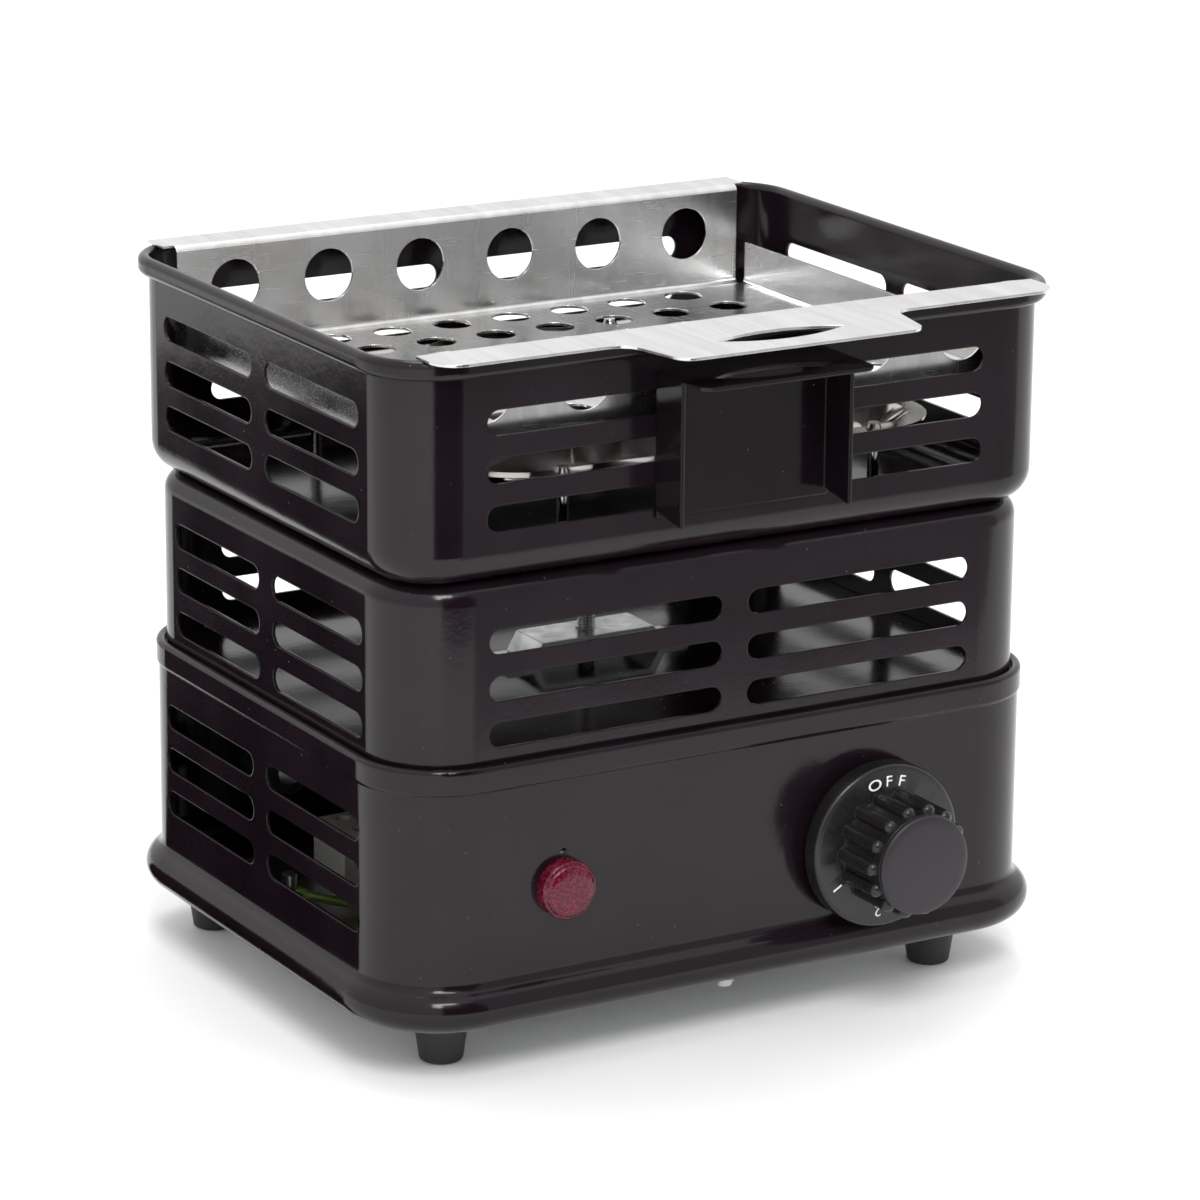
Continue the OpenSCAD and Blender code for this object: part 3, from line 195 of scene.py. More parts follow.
class Finish:
    """A material in the making. Positions are in millimetres, in the object's own frame."""

    def __init__(self, name):
        self.material = bpy.data.materials.new(name)
        self.material.use_nodes = True
        self.tree = self.material.node_tree
        self.shader = self.tree.nodes["Principled BSDF"]
        self.place = self.node("ShaderNodeTexCoord", {}).outputs["Object"]

    def node(self, kind, settings, **sockets):
        made = self.tree.nodes.new(kind)
        for key, value in settings.items():
            setattr(made, key, value)
        for key, value in sockets.items():
            self.feed(made.inputs[key.replace("_", " ")], value)
        return made

    def feed(self, socket, value):
        if isinstance(value, Value):
            self.tree.links.new(value.socket, socket)
        elif isinstance(value, bpy.types.NodeSocket):
            self.tree.links.new(value, socket)
        elif isinstance(value, (tuple, list)) and len(value) == 3 and socket.type == "RGBA":
            socket.default_value = (*value, 1)
        else:
            socket.default_value = value

    def scaled(self, scale=(1, 1, 1), turn=(0, 0, 0)):
        """Object coordinates in millimetres, stretched by scale"""
        stretch = tuple(s / MM for s in scale)
        return self.node("ShaderNodeMapping", {}, Vector=self.place, Scale=stretch, Rotation=turn).outputs[0]

    def noise(self, size, detail=3.0, roughness=0.55, stretch=(1, 1, 1), turn=(0, 0, 0)):
        """Smooth noise with features about size millimetres wide"""
        made = self.node("ShaderNodeTexNoise", {}, Vector=self.scaled(stretch, turn), Scale=1 / size,
                         Detail=detail, Roughness=roughness)
        return Value(self.tree, made.outputs["Fac"])

    def cells(self, size, feature="F1", stretch=(1, 1, 1)):
        """Distance to the middles or the borders of cells about size millimetres wide"""
        made = self.node("ShaderNodeTexVoronoi", {"feature": feature}, Vector=self.scaled(stretch), Scale=1 / size)
        return Value(self.tree, made.outputs["Distance"])

    def waves(self, size, direction):
        """Parallel bands"""
        made = self.node("ShaderNodeTexWave", {"bands_direction": direction}, Vector=self.scaled(), Scale=1 / size)
        return Value(self.tree, made.outputs["Fac"])

    def mix(self, factor, first, second):
        made = self.node("ShaderNodeMix", {"data_type": "RGBA"})
        self.feed(made.inputs["Factor"], factor)
        self.feed(made.inputs[6], first)
        self.feed(made.inputs[7], second)
        return made.outputs[2]

    def rounded(self, radius):
        """A normal that rounds sharp edges"""
        return self.node("ShaderNodeBevel", {"samples": 4}, Radius=radius).outputs[0]

    def relief(self, height, depth, normal=None):
        """Bumps of the given depth in millimetres"""
        made = self.node("ShaderNodeBump", {}, Height=height, Distance=depth * MM, Strength=1.0)
        if normal is not None:
            self.feed(made.inputs["Normal"], normal)
        return made.outputs[0]

    def finish(self, **sockets):
        for key, value in sockets.items():
            self.feed(self.shader.inputs[key.replace("_", " ")], value)
        return self.material


# ------------------------------------------------------------------------------------------------ materials


def enamel(name, base, roughness, edge):
    """Glossy stove enamel: a fine orange peel, softer clouds of gloss and a little dust in scattered specks"""
    made = Finish(name)
    peel = made.noise(1.6, 2.0)
    sag = made.noise(22, 2.0)
    clouds = made.noise(30, 3.0)
    dust = made.cells(3.4).below(0.07) * made.noise(9, 2.0).step(0.5, 0.62)
    tint = made.mix(clouds.step(0.35, 0.7), base, tuple(1.7 * c for c in base))
    dusty = made.mix(dust * 0.5, tint, (0.09, 0.085, 0.08))
    normal = made.relief(peel * 0.5 + sag * 4.0, 0.03, made.rounded(edge))
    return made.finish(Base_Color=dusty, Roughness=clouds * 0.08 + dust * 0.25 + (roughness - 0.04),
                       Normal=normal, Specular_IOR_Level=0.3, IOR=1.52)


def stainless(name, base, edge):
    """Bright rolled steel: hair lines along the strip, long soft streaks and faint straw heat tints"""
    made = Finish(name)
    hair = made.noise(0.35, 4.0, 0.7, stretch=(1, 0.012, 0.012))
    streak = made.noise(5.0, 3.0, 0.6, stretch=(1, 0.05, 0.09))
    cloud = made.noise(38, 4.0, 0.6)
    scuff = made.noise(0.5, 2.0, 0.5, stretch=(0.03, 1, 1), turn=(0, 0, 0.4)).step(0.66, 0.72)
    wave = made.noise(16, 2.0, 0.5)
    tinted = made.mix(cloud.step(0.5, 0.78) * 0.45, base, (0.56, 0.5, 0.41))
    streaked = made.mix(streak.step(0.35, 0.75) * 0.55, tinted, tuple(0.62 * c for c in base))
    rough = hair * 0.12 + streak * 0.16 + scuff * 0.08 + cloud * 0.08 + 0.06
    normal = made.relief(hair * 0.3 + wave * 7.0 + scuff * 0.2, 0.012, made.rounded(edge))
    return made.finish(Base_Color=streaked, Roughness=rough, Metallic=1.0, Normal=normal)


def chrome(name, base, tint, edge):
    """Polished plate with a faint straw bloom from the heat and a few fine wipe marks"""
    made = Finish(name)
    bloom = made.noise(24, 4.0, 0.6)
    wipe = made.noise(0.8, 3.0, 0.6, stretch=(0.15, 1, 0.4), turn=(0, 0, 0.6))
    wave = made.noise(14, 2.0)
    body = made.mix(bloom.step(0.55, 0.85) * 0.5, base, tint)
    normal = made.relief(wave * 5.0, 0.015, made.rounded(edge))
    return made.finish(Base_Color=body, Roughness=wipe * 0.08 + bloom * 0.05 + 0.02, Metallic=1.0, Normal=normal)


def plated(name, base, edge, rough):
    """Zinc plate on sheet and fasteners, with a fine crystal pattern and dull patches"""
    made = Finish(name)
    crystal = made.cells(2.6)
    grit = made.noise(0.3, 3.0, 0.6)
    patch = made.noise(9, 4.0, 0.6)
    body = made.mix(patch.step(0.4, 0.75), base, tuple(0.66 * c for c in base))
    spangle = made.mix(crystal.step(0.2, 0.8) * 0.35, body, tuple(min(1, 1.18 * c) for c in base))
    normal = made.relief(grit * 0.5 + crystal * 0.4, 0.01, made.rounded(edge))
    return made.finish(Base_Color=spangle, Roughness=patch * 0.18 + grit * 0.1 + (rough - 0.12), Metallic=1.0,
                       Normal=normal)


def moulded(name, base, rough, grain, depth, gate=1.35):
    """Moulded plastic or rubber: a fine spark grain, slow gloss changes and paler handled patches"""
    made = Finish(name)
    sparks = made.noise(grain, 3.0, 0.6)
    slow = made.noise(12, 3.0)
    pale = tuple(min(1, gate * c) for c in base)
    body = made.mix(slow.step(0.35, 0.75), base, pale)
    specks = made.mix(sparks.step(0.62, 0.8) * 0.4, body, tuple(min(1, gate * gate * c) for c in base))
    normal = made.relief(sparks, depth, made.rounded(0.3 * MM))
    return made.finish(Base_Color=specks, Roughness=slow * 0.12 + sparks * 0.08 + (rough - 0.1), Normal=normal)


def pebbled_lens(name, base, pebble):
    """Clear red plastic over a pebbled inside: painted highlights in the cell middles, painted shade along the seams
    """
    made = Finish(name)
    cell = made.cells(pebble / MM, "SMOOTH_F1")
    seam = made.cells(pebble / MM, "DISTANCE_TO_EDGE")
    cloud = made.noise(4, 2.0)
    # Lighter cell middles: a painted highlight where the pebbles would gather the light
    painted_highlight_cells = made.mix(cell.step(0.15, 0.6), tuple(min(1, 1.9 * c + 0.012) for c in base), base)
    # Darker seams: painted shade between the pebbles
    dark = made.mix(seam.below(0.09) * 0.6, painted_highlight_cells, tuple(0.35 * c for c in base))
    shade = made.mix(cloud.step(0.35, 0.7) * 0.5, dark, tuple(0.5 * c for c in base))
    normal = made.relief(1 - cell, 0.16)
    return made.finish(Base_Color=shade, Roughness=cell * 0.08 + 0.14, Normal=normal, Coat_Weight=0.25,
                       Coat_Roughness=0.08, Specular_IOR_Level=0.3, IOR=1.49)


def sheath(name):
    """Heat-tinted nickel tube: brown oxide with blue-grey bands and a grainy skin"""
    made = Finish(name)
    bands = made.noise(11, 3.0, 0.6)
    skin = made.noise(0.5, 4.0, 0.7)
    scale = made.noise(2.2, 3.0)
    oxide = made.mix(bands.step(0.35, 0.65), (0.085, 0.062, 0.05), (0.075, 0.078, 0.088))
    worn = made.mix(scale.step(0.58, 0.75) * 0.6, oxide, (0.2, 0.17, 0.14))
    normal = made.relief(skin + scale * 2.0, 0.025)
    return made.finish(Base_Color=worn, Roughness=skin * 0.2 + 0.36, Metallic=0.75, Normal=normal)


def ceramic(name):
    """Unglazed steatite: chalky, slightly speckled, sooty in patches"""
    made = Finish(name)
    speck = made.noise(0.4, 3.0, 0.7)
    soot = made.noise(5, 4.0, 0.6)
    body = made.mix(speck.step(0.45, 0.7), (0.72, 0.68, 0.6), (0.6, 0.56, 0.48))
    sooty = made.mix(soot.step(0.55, 0.8) * 0.4, body, (0.3, 0.26, 0.2))
    return made.finish(Base_Color=sooty, Roughness=speck * 0.15 + 0.65, Normal=made.relief(speck, 0.03))


def braid(name, base):
    """Varnished glass-fibre braid: crossing strands, with painted shade darkening the gaps between them"""
    made = Finish(name)
    strands = made.cells(0.55, stretch=(1, 1, 0.6))
    soil = made.noise(6, 3.0)
    # Darker away from the strand middles: painted shade in the gaps between strands
    body = made.mix(strands.step(0.3, 0.75), base, tuple(0.5 * c for c in base))
    soiled = made.mix(soil.step(0.5, 0.8) * 0.5, body, tuple(0.7 * c for c in base))
    return made.finish(Base_Color=soiled, Roughness=strands * 0.2 + 0.5, Normal=made.relief(1 - strands, 0.12))


def striped(name, base, stripe):
    """Two-colour wire insulation with a soft extruded sheen"""
    made = Finish(name)
    bands = made.waves(5.5, "DIAGONAL").step(0.72, 0.76)
    drawn = made.noise(0.6, 3.0, 0.6, stretch=(0.2, 1, 1))
    body = made.mix(bands, base, stripe)
    return made.finish(Base_Color=body, Roughness=drawn * 0.15 + 0.3, Normal=made.relief(drawn, 0.015))


def studio_floor(name, grey):
    """Matt white paper sweep with a barely seen tooth"""
    made = Finish(name)
    tooth = made.noise(1.5, 3.0)
    paper = made.mix(tooth, (grey, grey, grey), (grey * 0.985, grey * 0.985, grey * 0.98))
    return made.finish(Base_Color=paper, Roughness=tooth * 0.1 + 0.55, Normal=made.relief(tooth, 0.01))


FINISHES = {}


def material(slot):
    """The material of a slot, made when it is first asked for"""
    look = bpy.context.scene.burner_finish
    sizes = bpy.context.scene.burner_sizes
    makers = {
        "black_enamel": lambda n: enamel(n, tuple(look.enamel), look.enamel_roughness, 1.6 * look.edge),
        "bracket_enamel": lambda n: enamel(n, tuple(0.75 * c for c in look.enamel), 0.13, 2 * look.edge),
        "zinc_plate": lambda n: plated(n, (0.55, 0.56, 0.57), look.edge, 0.36),
        "bright_zinc": lambda n: plated(n, (0.83, 0.83, 0.84), look.edge, 0.18),
        "screw_steel": lambda n: plated(n, (0.62, 0.62, 0.63), look.edge / 2, 0.3),
        "foot_rubber": lambda n: moulded(n, tuple(look.rubber), 0.5, 0.5, 0.03),
        "regulator_plastic": lambda n: moulded(n, (0.05, 0.042, 0.036), 0.45, 0.6, 0.03),
        "shaft_steel": lambda n: plated(n, (0.6, 0.6, 0.6), look.edge / 2, 0.3),
        "contact_brass": lambda n: plated(n, (0.78, 0.56, 0.22), look.edge / 2, 0.3),
        "knob_plastic": lambda n: moulded(n, tuple(look.knob), 0.28, 0.5, 0.006, 1.5),
        "cap_plastic": lambda n: moulded(n, tuple(look.cap), 0.46, 0.25, 0.01, 1.2),
        "dial_print": lambda n: moulded(n, tuple(look.print_white), 0.5, 0.2, 0.004, 1.1),
        "red_lens": lambda n: pebbled_lens(n, tuple(look.lens), sizes.pebble),
        "lamp_plastic": lambda n: moulded(n, (0.62, 0.6, 0.54), 0.45, 0.5, 0.02, 1.1),
        "gland_plastic": lambda n: moulded(n, (0.016, 0.016, 0.016), 0.4, 0.6, 0.03),
        "earth_insulation": lambda n: striped(n, (0.04, 0.15, 0.02), (0.28, 0.25, 0.03)),
        "live_insulation": lambda n: moulded(n, (0.16, 0.055, 0.025), 0.35, 0.8, 0.02),
        "glass_braid": lambda n: braid(n, (0.66, 0.63, 0.55)),
        "red_grommet": lambda n: moulded(n, (0.28, 0.025, 0.015), 0.45, 0.6, 0.03),
        "ceramic": ceramic,
        # The pan's base colour is dimmed to 0.5: partly its heat tint, partly painted shade for the dim inside of
        # the housing
        "chrome_pan": lambda n: chrome(n, (0.5, 0.48, 0.46), (0.75, 0.62, 0.42), look.edge),
        "element_sheath": sheath,
        "stainless_tray": lambda n: stainless(n, tuple(look.steel), look.edge),
    }
    if slot not in FINISHES:
        FINISHES[slot] = makers[slot](slot)
    return FINISHES[slot]


def paint(piece, slot):
    piece.data.materials.clear()
    piece.data.materials.append(material(slot))


# ------------------------------------------------------------------------------------------------ modelling


def deselect():
    if bpy.context.object is not None and bpy.context.object.mode != "OBJECT":
        bpy.ops.object.mode_set(mode="OBJECT")
    bpy.ops.object.select_all(action="DESELECT")


def only(piece):
    deselect()
    piece.select_set(True)
    bpy.context.view_layer.objects.active = piece


def settle(piece, name, angle=35):
    """Puts the piece's place into its mesh, turns its faces outwards and smooths it"""
    only(piece)
    bpy.ops.object.transform_apply(location=True, rotation=True, scale=True)
    bpy.ops.object.mode_set(mode="EDIT")
    bpy.ops.mesh.select_all(action="SELECT")
    bpy.ops.mesh.remove_doubles(threshold=1e-6)
    bpy.ops.mesh.normals_make_consistent(inside=False)
    bpy.ops.object.mode_set(mode="OBJECT")
    bpy.ops.object.shade_smooth_by_angle(angle=math.radians(angle))
    piece.name = piece.data.name = name
    return piece


def place(piece, body, slot, *stands_for):
    """Gives a finished piece its body and its finish, and hides the nodes that it stands for"""
    paint(piece, slot)
    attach(piece, body)
    slot in SLOT_OF.values()
    if stands_for:
        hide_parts(*stands_for)
    return piece


def turned(profile, sides=96, closed=False):
    """A turned solid about Z. The profile is a list of (radius, height), and each ring is extruded from the last.
    A radius of 0 closes the end in a point, and a closed profile joins its last ring to its first."""
    deselect()
    first = profile[0][0]
    bpy.ops.mesh.primitive_circle_add(vertices=sides, radius=first, location=(0, 0, profile[0][1]))
    piece = bpy.context.object
    bpy.ops.object.transform_apply(location=True, rotation=False, scale=False)
    bpy.ops.object.mode_set(mode="EDIT")
    bpy.ops.mesh.select_all(action="SELECT")
    if not closed:
        bpy.ops.mesh.edge_face_add()
        bpy.ops.mesh.select_all(action="SELECT")
    for (r0, z0), (r1, z1) in zip(profile, profile[1:] + (profile[:1] if closed else [])):
        bpy.ops.mesh.extrude_region_move(TRANSFORM_OT_translate={"value": (0, 0, z1 - z0)})
        if r1 > 0:
            bpy.ops.transform.resize(value=(r1 / r0, r1 / r0, 1), center_override=(0, 0, 0))
        else:
            bpy.ops.mesh.merge(type="CENTER")
    bpy.ops.mesh.select_all(action="SELECT")
    bpy.ops.mesh.remove_doubles(threshold=1e-7)
    if closed:
        bpy.ops.mesh.select_all(action="SELECT")
        bpy.ops.mesh.delete_loose()
    bpy.ops.object.mode_set(mode="OBJECT")
    return piece


def arc(radius, centre_r, centre_h, start, end, steps=5):
    """Profile points along an arc, with angles in degrees from the radius direction"""
    angles = [math.radians(start + (end - start) * k / steps) for k in range(steps + 1)]
    return [(centre_r + radius * math.cos(a), centre_h + radius * math.sin(a)) for a in angles]


def face_front(piece, x, y, z):
    """Turns a piece made about Z so that it points at -Y, and moves it to a place"""
    piece.rotation_euler = (math.radians(90), 0, 0)
    piece.location = (x, y, z)


def joined(pieces):
    deselect()
    for piece in pieces:
        piece.select_set(True)
    bpy.context.view_layer.objects.active = pieces[0]
    bpy.ops.object.join()
    return pieces[0]


def combined(piece, tool, operation):
    """Applies an exact boolean with the tool, and removes the tool"""
    only(piece)
    modifier = piece.modifiers.new("join", "BOOLEAN")
    modifier.operation, modifier.object, modifier.solver = operation, tool, "EXACT"
    bpy.ops.object.modifier_apply(modifier=modifier.name)
    bpy.data.objects.remove(tool, do_unlink=True)
    return piece


def block(low, high, bevel):
    """A box between two corners with rounded edges"""
    deselect()
    centre = [(a + b) / 2 for a, b in zip(low, high)]
    bpy.ops.mesh.primitive_cube_add(size=1, location=centre)
    piece = bpy.context.object
    piece.scale = [b - a for a, b in zip(low, high)]
    bpy.ops.object.transform_apply(location=True, rotation=True, scale=True)
    bpy.ops.object.mode_set(mode="EDIT")
    bpy.ops.mesh.select_all(action="SELECT")
    bpy.ops.mesh.bevel(offset=bevel, segments=3, affect="EDGES")
    bpy.ops.object.mode_set(mode="OBJECT")
    return piece


def curve_through(points, steps):
    """A smooth curve through points, with a number of steps from each to the next"""
    found = []
    count = len(points)
    for i in range(count - 1):
        a, b = points[max(i - 1, 0)], points[i]
        c, d = points[i + 1], points[min(i + 2, count - 1)]
        for k in range(steps):
            t = k / steps
            found.append(tuple(
                0.5 * (2 * q + (r - p) * t + (2 * p - 5 * q + 4 * r - s) * t ** 2 + (3 * q - p - 3 * r + s) * t ** 3)
                for p, q, r, s in zip(a, b, c, d)))
    return found + [tuple(points[-1])]


def tube(points, diameter, rings):
    """A round tube along points, filled at its ends and made a mesh"""
    deselect()
    data = bpy.data.curves.new("tube", "CURVE")
    data.dimensions, data.bevel_depth, data.bevel_resolution = "3D", diameter / 2, rings
    data.use_fill_caps = True
    spline = data.splines.new("POLY")
    spline.points.add(len(points) - 1)
    for knot, at in zip(spline.points, points):
        knot.co = (*at, 1)
    piece = bpy.data.objects.new("tube", data)
    bpy.context.scene.collection.objects.link(piece)
    only(piece)
    bpy.ops.object.convert(target="MESH")
    return bpy.context.object


# ------------------------------------------------------------------------------------------------ routes

# Millimetres in the frame of the housings: the element's legs and turns, and the wires
LEG_X = (-24, -8)
LEG_Y = math.sqrt(50 ** 2 - 24 ** 2)
ELEMENT_D = 6.4 * MM


def element_route():
    """The element's middle line: up through the pan, under the turns, round them and down again"""
    inner, outer, height, bend, steps = 20, 50, 152.8, 7, 240
    low, under = 138.8, 146.2
    end = 720 + math.degrees(math.atan2(LEG_Y, LEG_X[0])) + 360 - math.degrees(math.asin(bend / outer))
    rise = curve_through([(LEG_X[1], LEG_Y, low), (LEG_X[1], LEG_Y, 141.6), (LEG_X[1], LEG_Y - 1.2, under - 1.2),
                          (LEG_X[1], LEG_Y - 5, under), (LEG_X[1] - 1, LEG_Y * 0.7, under),
                          (-inner * 0.75, LEG_Y * 0.45, under + 0.3), (-inner * 0.97, LEG_Y * 0.2, height - 1)], 5)
    turns = []
    for k in range(steps + 1):
        angle = 180 + (end - 180) * k / steps
        radius = inner + (outer - inner) * k / steps
        turns.append((radius * math.cos(math.radians(angle)), radius * math.sin(math.radians(angle)), height))
    last = Vector(turns[-1])
    across = Vector((LEG_X[0], LEG_Y, 0)) - Vector((last.x, last.y, 0))
    fall = []
    for angle in range(15, 91, 15):
        a = math.radians(angle)
        fall.append(tuple(last + math.sin(a) * across - Vector((0, 0, (1 - math.cos(a)) * across.length))))
    route = rise + turns + fall + [(LEG_X[0], LEG_Y, low)]
    return [(x * MM, (y + SEAT_Y) * MM, z * MM) for x, y, z in route]


def lamp_route(s):
    """One wire of the lamp's pair: s is 1 for the upper and -1 for the lower"""
    return [(-50, -58.5, 47.5 + 2 * s), (-50, -55.7, 47.5 + 2 * s), (-42, -47, 49.5 + 2 * s),
            (-20, -40, 51.5 + 3 * s), (14, -36, 47.5 + 4 * s), (40, -29.9, 45.5 + 7 * s),
            (50, -32.9, 45.5 + 11 * s), (50, -38.9, 45.5 + 12 * s)]


# Node: slot, diameter, routes, and the middles of its sleeves
WIRES = {
    "neutral_wire": ("glass_braid", 3, [[
        (-48.5, 34, 21.8), (-48.5, 28, 21.8), (-46.5, 24, 24.8), (-38, 20, 34), (-27, 30, 48), (-24, LEG_Y, 64),
        (-24, LEG_Y, 80.5), (-24, LEG_Y, 115), (-24, LEG_Y, 133.45)]], []),
    "heater_wire": ("glass_braid", 3, [[
        (30, -38.9, 57.5), (27, -28.9, 59), (14, -8, 57), (0, 22, 55), (-8, LEG_Y, 66), (-8, LEG_Y, 80.5),
        (-8, LEG_Y, 115), (-8, LEG_Y, 133.45)]], [(30, 57.5)]),
    "live_wire": ("live_insulation", 3, [[
        (-39, 34, 21.8), (-39, 28, 21.8), (-39, 18, 24), (-24, 4, 25), (4, -14, 25), (22, -22, 28),
        (30, -30.9, 33), (30, -38.9, 33.5)]], [(30, 33.5)]),
    "earth_wire": ("earth_insulation", 2.6, [[
        (-29.5, 34, 21.8), (-29.5, 28, 21.8), (-30.5, 19, 18), (-39, 12, 16.5), (-58, 14, 16.5), (-69, 21, 18),
        (-71, 26.4, 18.2)]], []),
    "lamp_wires": ("glass_braid", 1.8, [lamp_route(-1), lamp_route(1)], [(50, 33.5), (50, 57.5)]),
}


# ------------------------------------------------------------------------------------------------ operators


class BURNER_OT_materials(bpy.types.Operator):
    """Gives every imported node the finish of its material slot"""

    bl_idname = "burner.materials"
    bl_label = "Finish the packed nodes"
    bl_options = {"REGISTER", "UNDO"}

    def execute(self, context):
        for name, node in frame["nodes"].items():
            paint(node, SLOT_OF[name])
        return {"FINISHED"}


class BURNER_OT_knob(bpy.types.Operator):
    """Turns the hollow dial with its ribbed grip, and the domed cap"""

    bl_idname = "burner.knob"
    bl_label = "Knob"
    bl_options = {"REGISTER", "UNDO"}

    def execute(self, context):
        sizes = context.scene.burner_sizes
        low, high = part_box("control_knob")
        cap_low, cap_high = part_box("knob_cap")
        axis = middle("knob_cap")
        back = high.y
        dial_r = (high.x - low.x) / 2
        grip_r = (cap_high.x - cap_low.x) / 2
        grip_end = back - low.y
        dial = grip_end - GRIP_LENGTH
        ceiling = dial - DIAL_WALL
        shaft_r = span("regulator_shaft").x / 2 + 0.03 * MM
        shaft_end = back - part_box("regulator_shaft")[0].y + 0.1 * MM
        edge = sizes.dial_round
        body = turned(
            [(shaft_r, shaft_end), (shaft_r, BOSS_SET_BACK), (BOSS_R, BOSS_SET_BACK), (BOSS_R, ceiling),
             (dial_r - DIAL_WALL, ceiling), (dial_r - DIAL_WALL, 0), (dial_r - DIAL_SKIRT, 0), (dial_r, DIAL_SKIRT)]
            + arc(edge, dial_r - edge, dial - edge, 0, 90)
            + [(grip_r + 1.2 * MM, dial), (grip_r + 0.3 * MM, dial + 0.3 * MM), (grip_r, dial + 1.2 * MM),
               (grip_r, grip_end - 0.1 * MM), (grip_r - 0.1 * MM, grip_end)])
        rib_r = sizes.rib_diameter / 2
        rib_top = grip_end - RIB_SET_BACK
        first = turned([(rib_r, dial - 0.6 * MM)] + arc(rib_r, 0, rib_top - rib_r, 0, 75)
                       + [(0, rib_top)], sides=24)
        ribs = []
        for k in range(sizes.rib_count):
            rib = first.copy()
            rib.data = first.data.copy()
            context.scene.collection.objects.link(rib)
            angle = 2 * math.pi * k / sizes.rib_count
            rib.location = (grip_r * math.cos(angle), grip_r * math.sin(angle), 0)
            ribs.append(rib)
        bpy.data.objects.remove(first, do_unlink=True)
        tool = settle(joined(ribs), "ribs")
        combined(settle(body, "knob_body"), tool, "UNION")
        face_front(body, axis.x, back, axis.z)
        place(settle(body, "knob_body"), "knob", "knob_plastic", "control_knob")

        top = back - cap_low.y
        dome = sizes.cap_dome
        cap = turned(
            [(grip_r - 0.3 * MM, grip_end + 0.01 * MM), (grip_r - 0.05 * MM, grip_end + 0.3 * MM)]
            + arc(0.8 * MM, grip_r - 0.85 * MM, top - dome - 0.9 * MM, 0, 70)
            + [(r * grip_r, top - dome * r * r) for r in (0.9, 0.8, 0.65, 0.5, 0.35, 0.2, 0.08)] + [(0, top)],
            sides=128)
        face_front(cap, axis.x, back, axis.z)
        place(settle(cap, "cap_disc"), "knob", "cap_plastic", "knob_cap")
        return {"FINISHED"}


class BURNER_OT_marks(bpy.types.Operator):
    """Prints OFF and the heat settings round the dial"""

    bl_idname = "burner.marks"
    bl_label = "Dial marks"
    bl_options = {"REGISTER", "UNDO"}

    def execute(self, context):
        height = context.scene.burner_sizes.mark_height
        low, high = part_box("control_knob")
        axis = middle("knob_cap")
        face = low.y + GRIP_LENGTH
        radius = (high.x - low.x) / 2 - 4.4 * MM
        marks = [("O", 104), ("F", 90), ("F", 77)] + [(str(k + 1), 211 + 51 * k) for k in range(4)]
        pieces = []
        for letter, angle in marks:
            deselect()
            bpy.ops.object.text_add()
            mark = context.object
            mark.data.body = letter
            mark.data.size = height * 1.38
            mark.data.align_x, mark.data.align_y = "CENTER", "CENTER"
            mark.data.extrude = 0.04 * MM
            mark.data.offset = 0.03 * MM
            mark.scale = (1.3 if letter == "O" else 1.1, 1, 1)
            only(mark)
            bpy.ops.object.convert(target="MESH")
            bpy.ops.object.transform_apply(location=True, rotation=True, scale=True)
            mark = context.object
            turn = math.radians(angle)
            mark.rotation_euler = (0, 0, turn - math.pi / 2)
            mark.location = (radius * math.cos(turn), radius * math.sin(turn), 0)
            only(mark)
            bpy.ops.object.transform_apply(location=True, rotation=True, scale=True)
            pieces.append(mark)
        marks = joined(pieces)
        face_front(marks, axis.x, face - 0.03 * MM, axis.z)
        place(settle(marks, "dial_marks"), "knob", "dial_print")
        return {"FINISHED"}


class BURNER_OT_lamp(bpy.types.Operator):
    """Turns the pilot lamp's hollow lens with a rounded shoulder and a low dome"""

    bl_idname = "burner.lamp"
    bl_label = "Pilot lamp"
    bl_options = {"REGISTER", "UNDO"}

    def execute(self, context):
        low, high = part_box("lamp_lens")
        axis = (low + high) / 2
        outer, out = (high.x - low.x) / 2, high.y - low.y
        shoulder = 1.5 * MM
        lens = turned(
            [(outer - LENS_WALL, out - LENS_WALL), (outer - LENS_WALL, 0), (outer, 0),
             (outer, out - shoulder - 0.8 * MM), (outer - 0.15 * MM, out - shoulder - 0.35 * MM),
             (outer - 0.5 * MM, out - shoulder)]
            + arc(shoulder, outer - shoulder - 0.7 * MM, out - shoulder - 0.45 * MM, 20, 72)
            + [(r * MM, out - 0.3 * MM * (r / 5.6) ** 2) for r in (5.2, 4.4, 3.4, 2.4, 1.4, 0.6)] + [(0, out)])
        face_front(lens, axis.x, high.y, axis.z)
        place(settle(lens, "pilot_lens"), "burner", "red_lens", "lamp_lens")
        return {"FINISHED"}


class BURNER_OT_feet(bpy.types.Operator):
    """Turns one rubber foot with a rounded sole and a screw recess, and copies it to the four corners"""

    bl_idname = "burner.feet"
    bl_label = "Feet"
    bl_options = {"REGISTER", "UNDO"}

    def execute(self, context):
        nodes = ["foot_front_left", "foot_front_right", "foot_rear_left", "foot_rear_right"]
        size = span(nodes[0])
        top_r, height = size.x / 2, size.z
        sole_r = top_r * 11 / 15
        soft = context.scene.burner_sizes.foot_round
        first = turned(
            [(FOOT_BORE_R, height), (FOOT_BORE_R, FOOT_RECESS), (FOOT_RECESS_R, FOOT_RECESS),
             (FOOT_RECESS_R, 0.5 * MM), (FOOT_RECESS_R + 0.4 * MM, 0.05 * MM), (sole_r - soft, 0)]
            + arc(soft, sole_r - soft + 0.1 * MM, soft, -70, 0)
            + [(top_r - 0.35 * MM, height - 1.6 * MM), (top_r, height - 1.1 * MM), (top_r, height - 0.2 * MM),
               (top_r - 0.2 * MM, height)], sides=64, closed=True)
        settle(first, "foot")
        for node in nodes:
            foot = first.copy()
            foot.data = first.data.copy()
            context.scene.collection.objects.link(foot)
            low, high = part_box(node)
            foot.location = ((low.x + high.x) / 2, (low.y + high.y) / 2, low.z)
            place(settle(foot, node.replace("foot", "rubber_foot")), "burner", "foot_rubber", node)
        bpy.data.objects.remove(first, do_unlink=True)
        return {"FINISHED"}


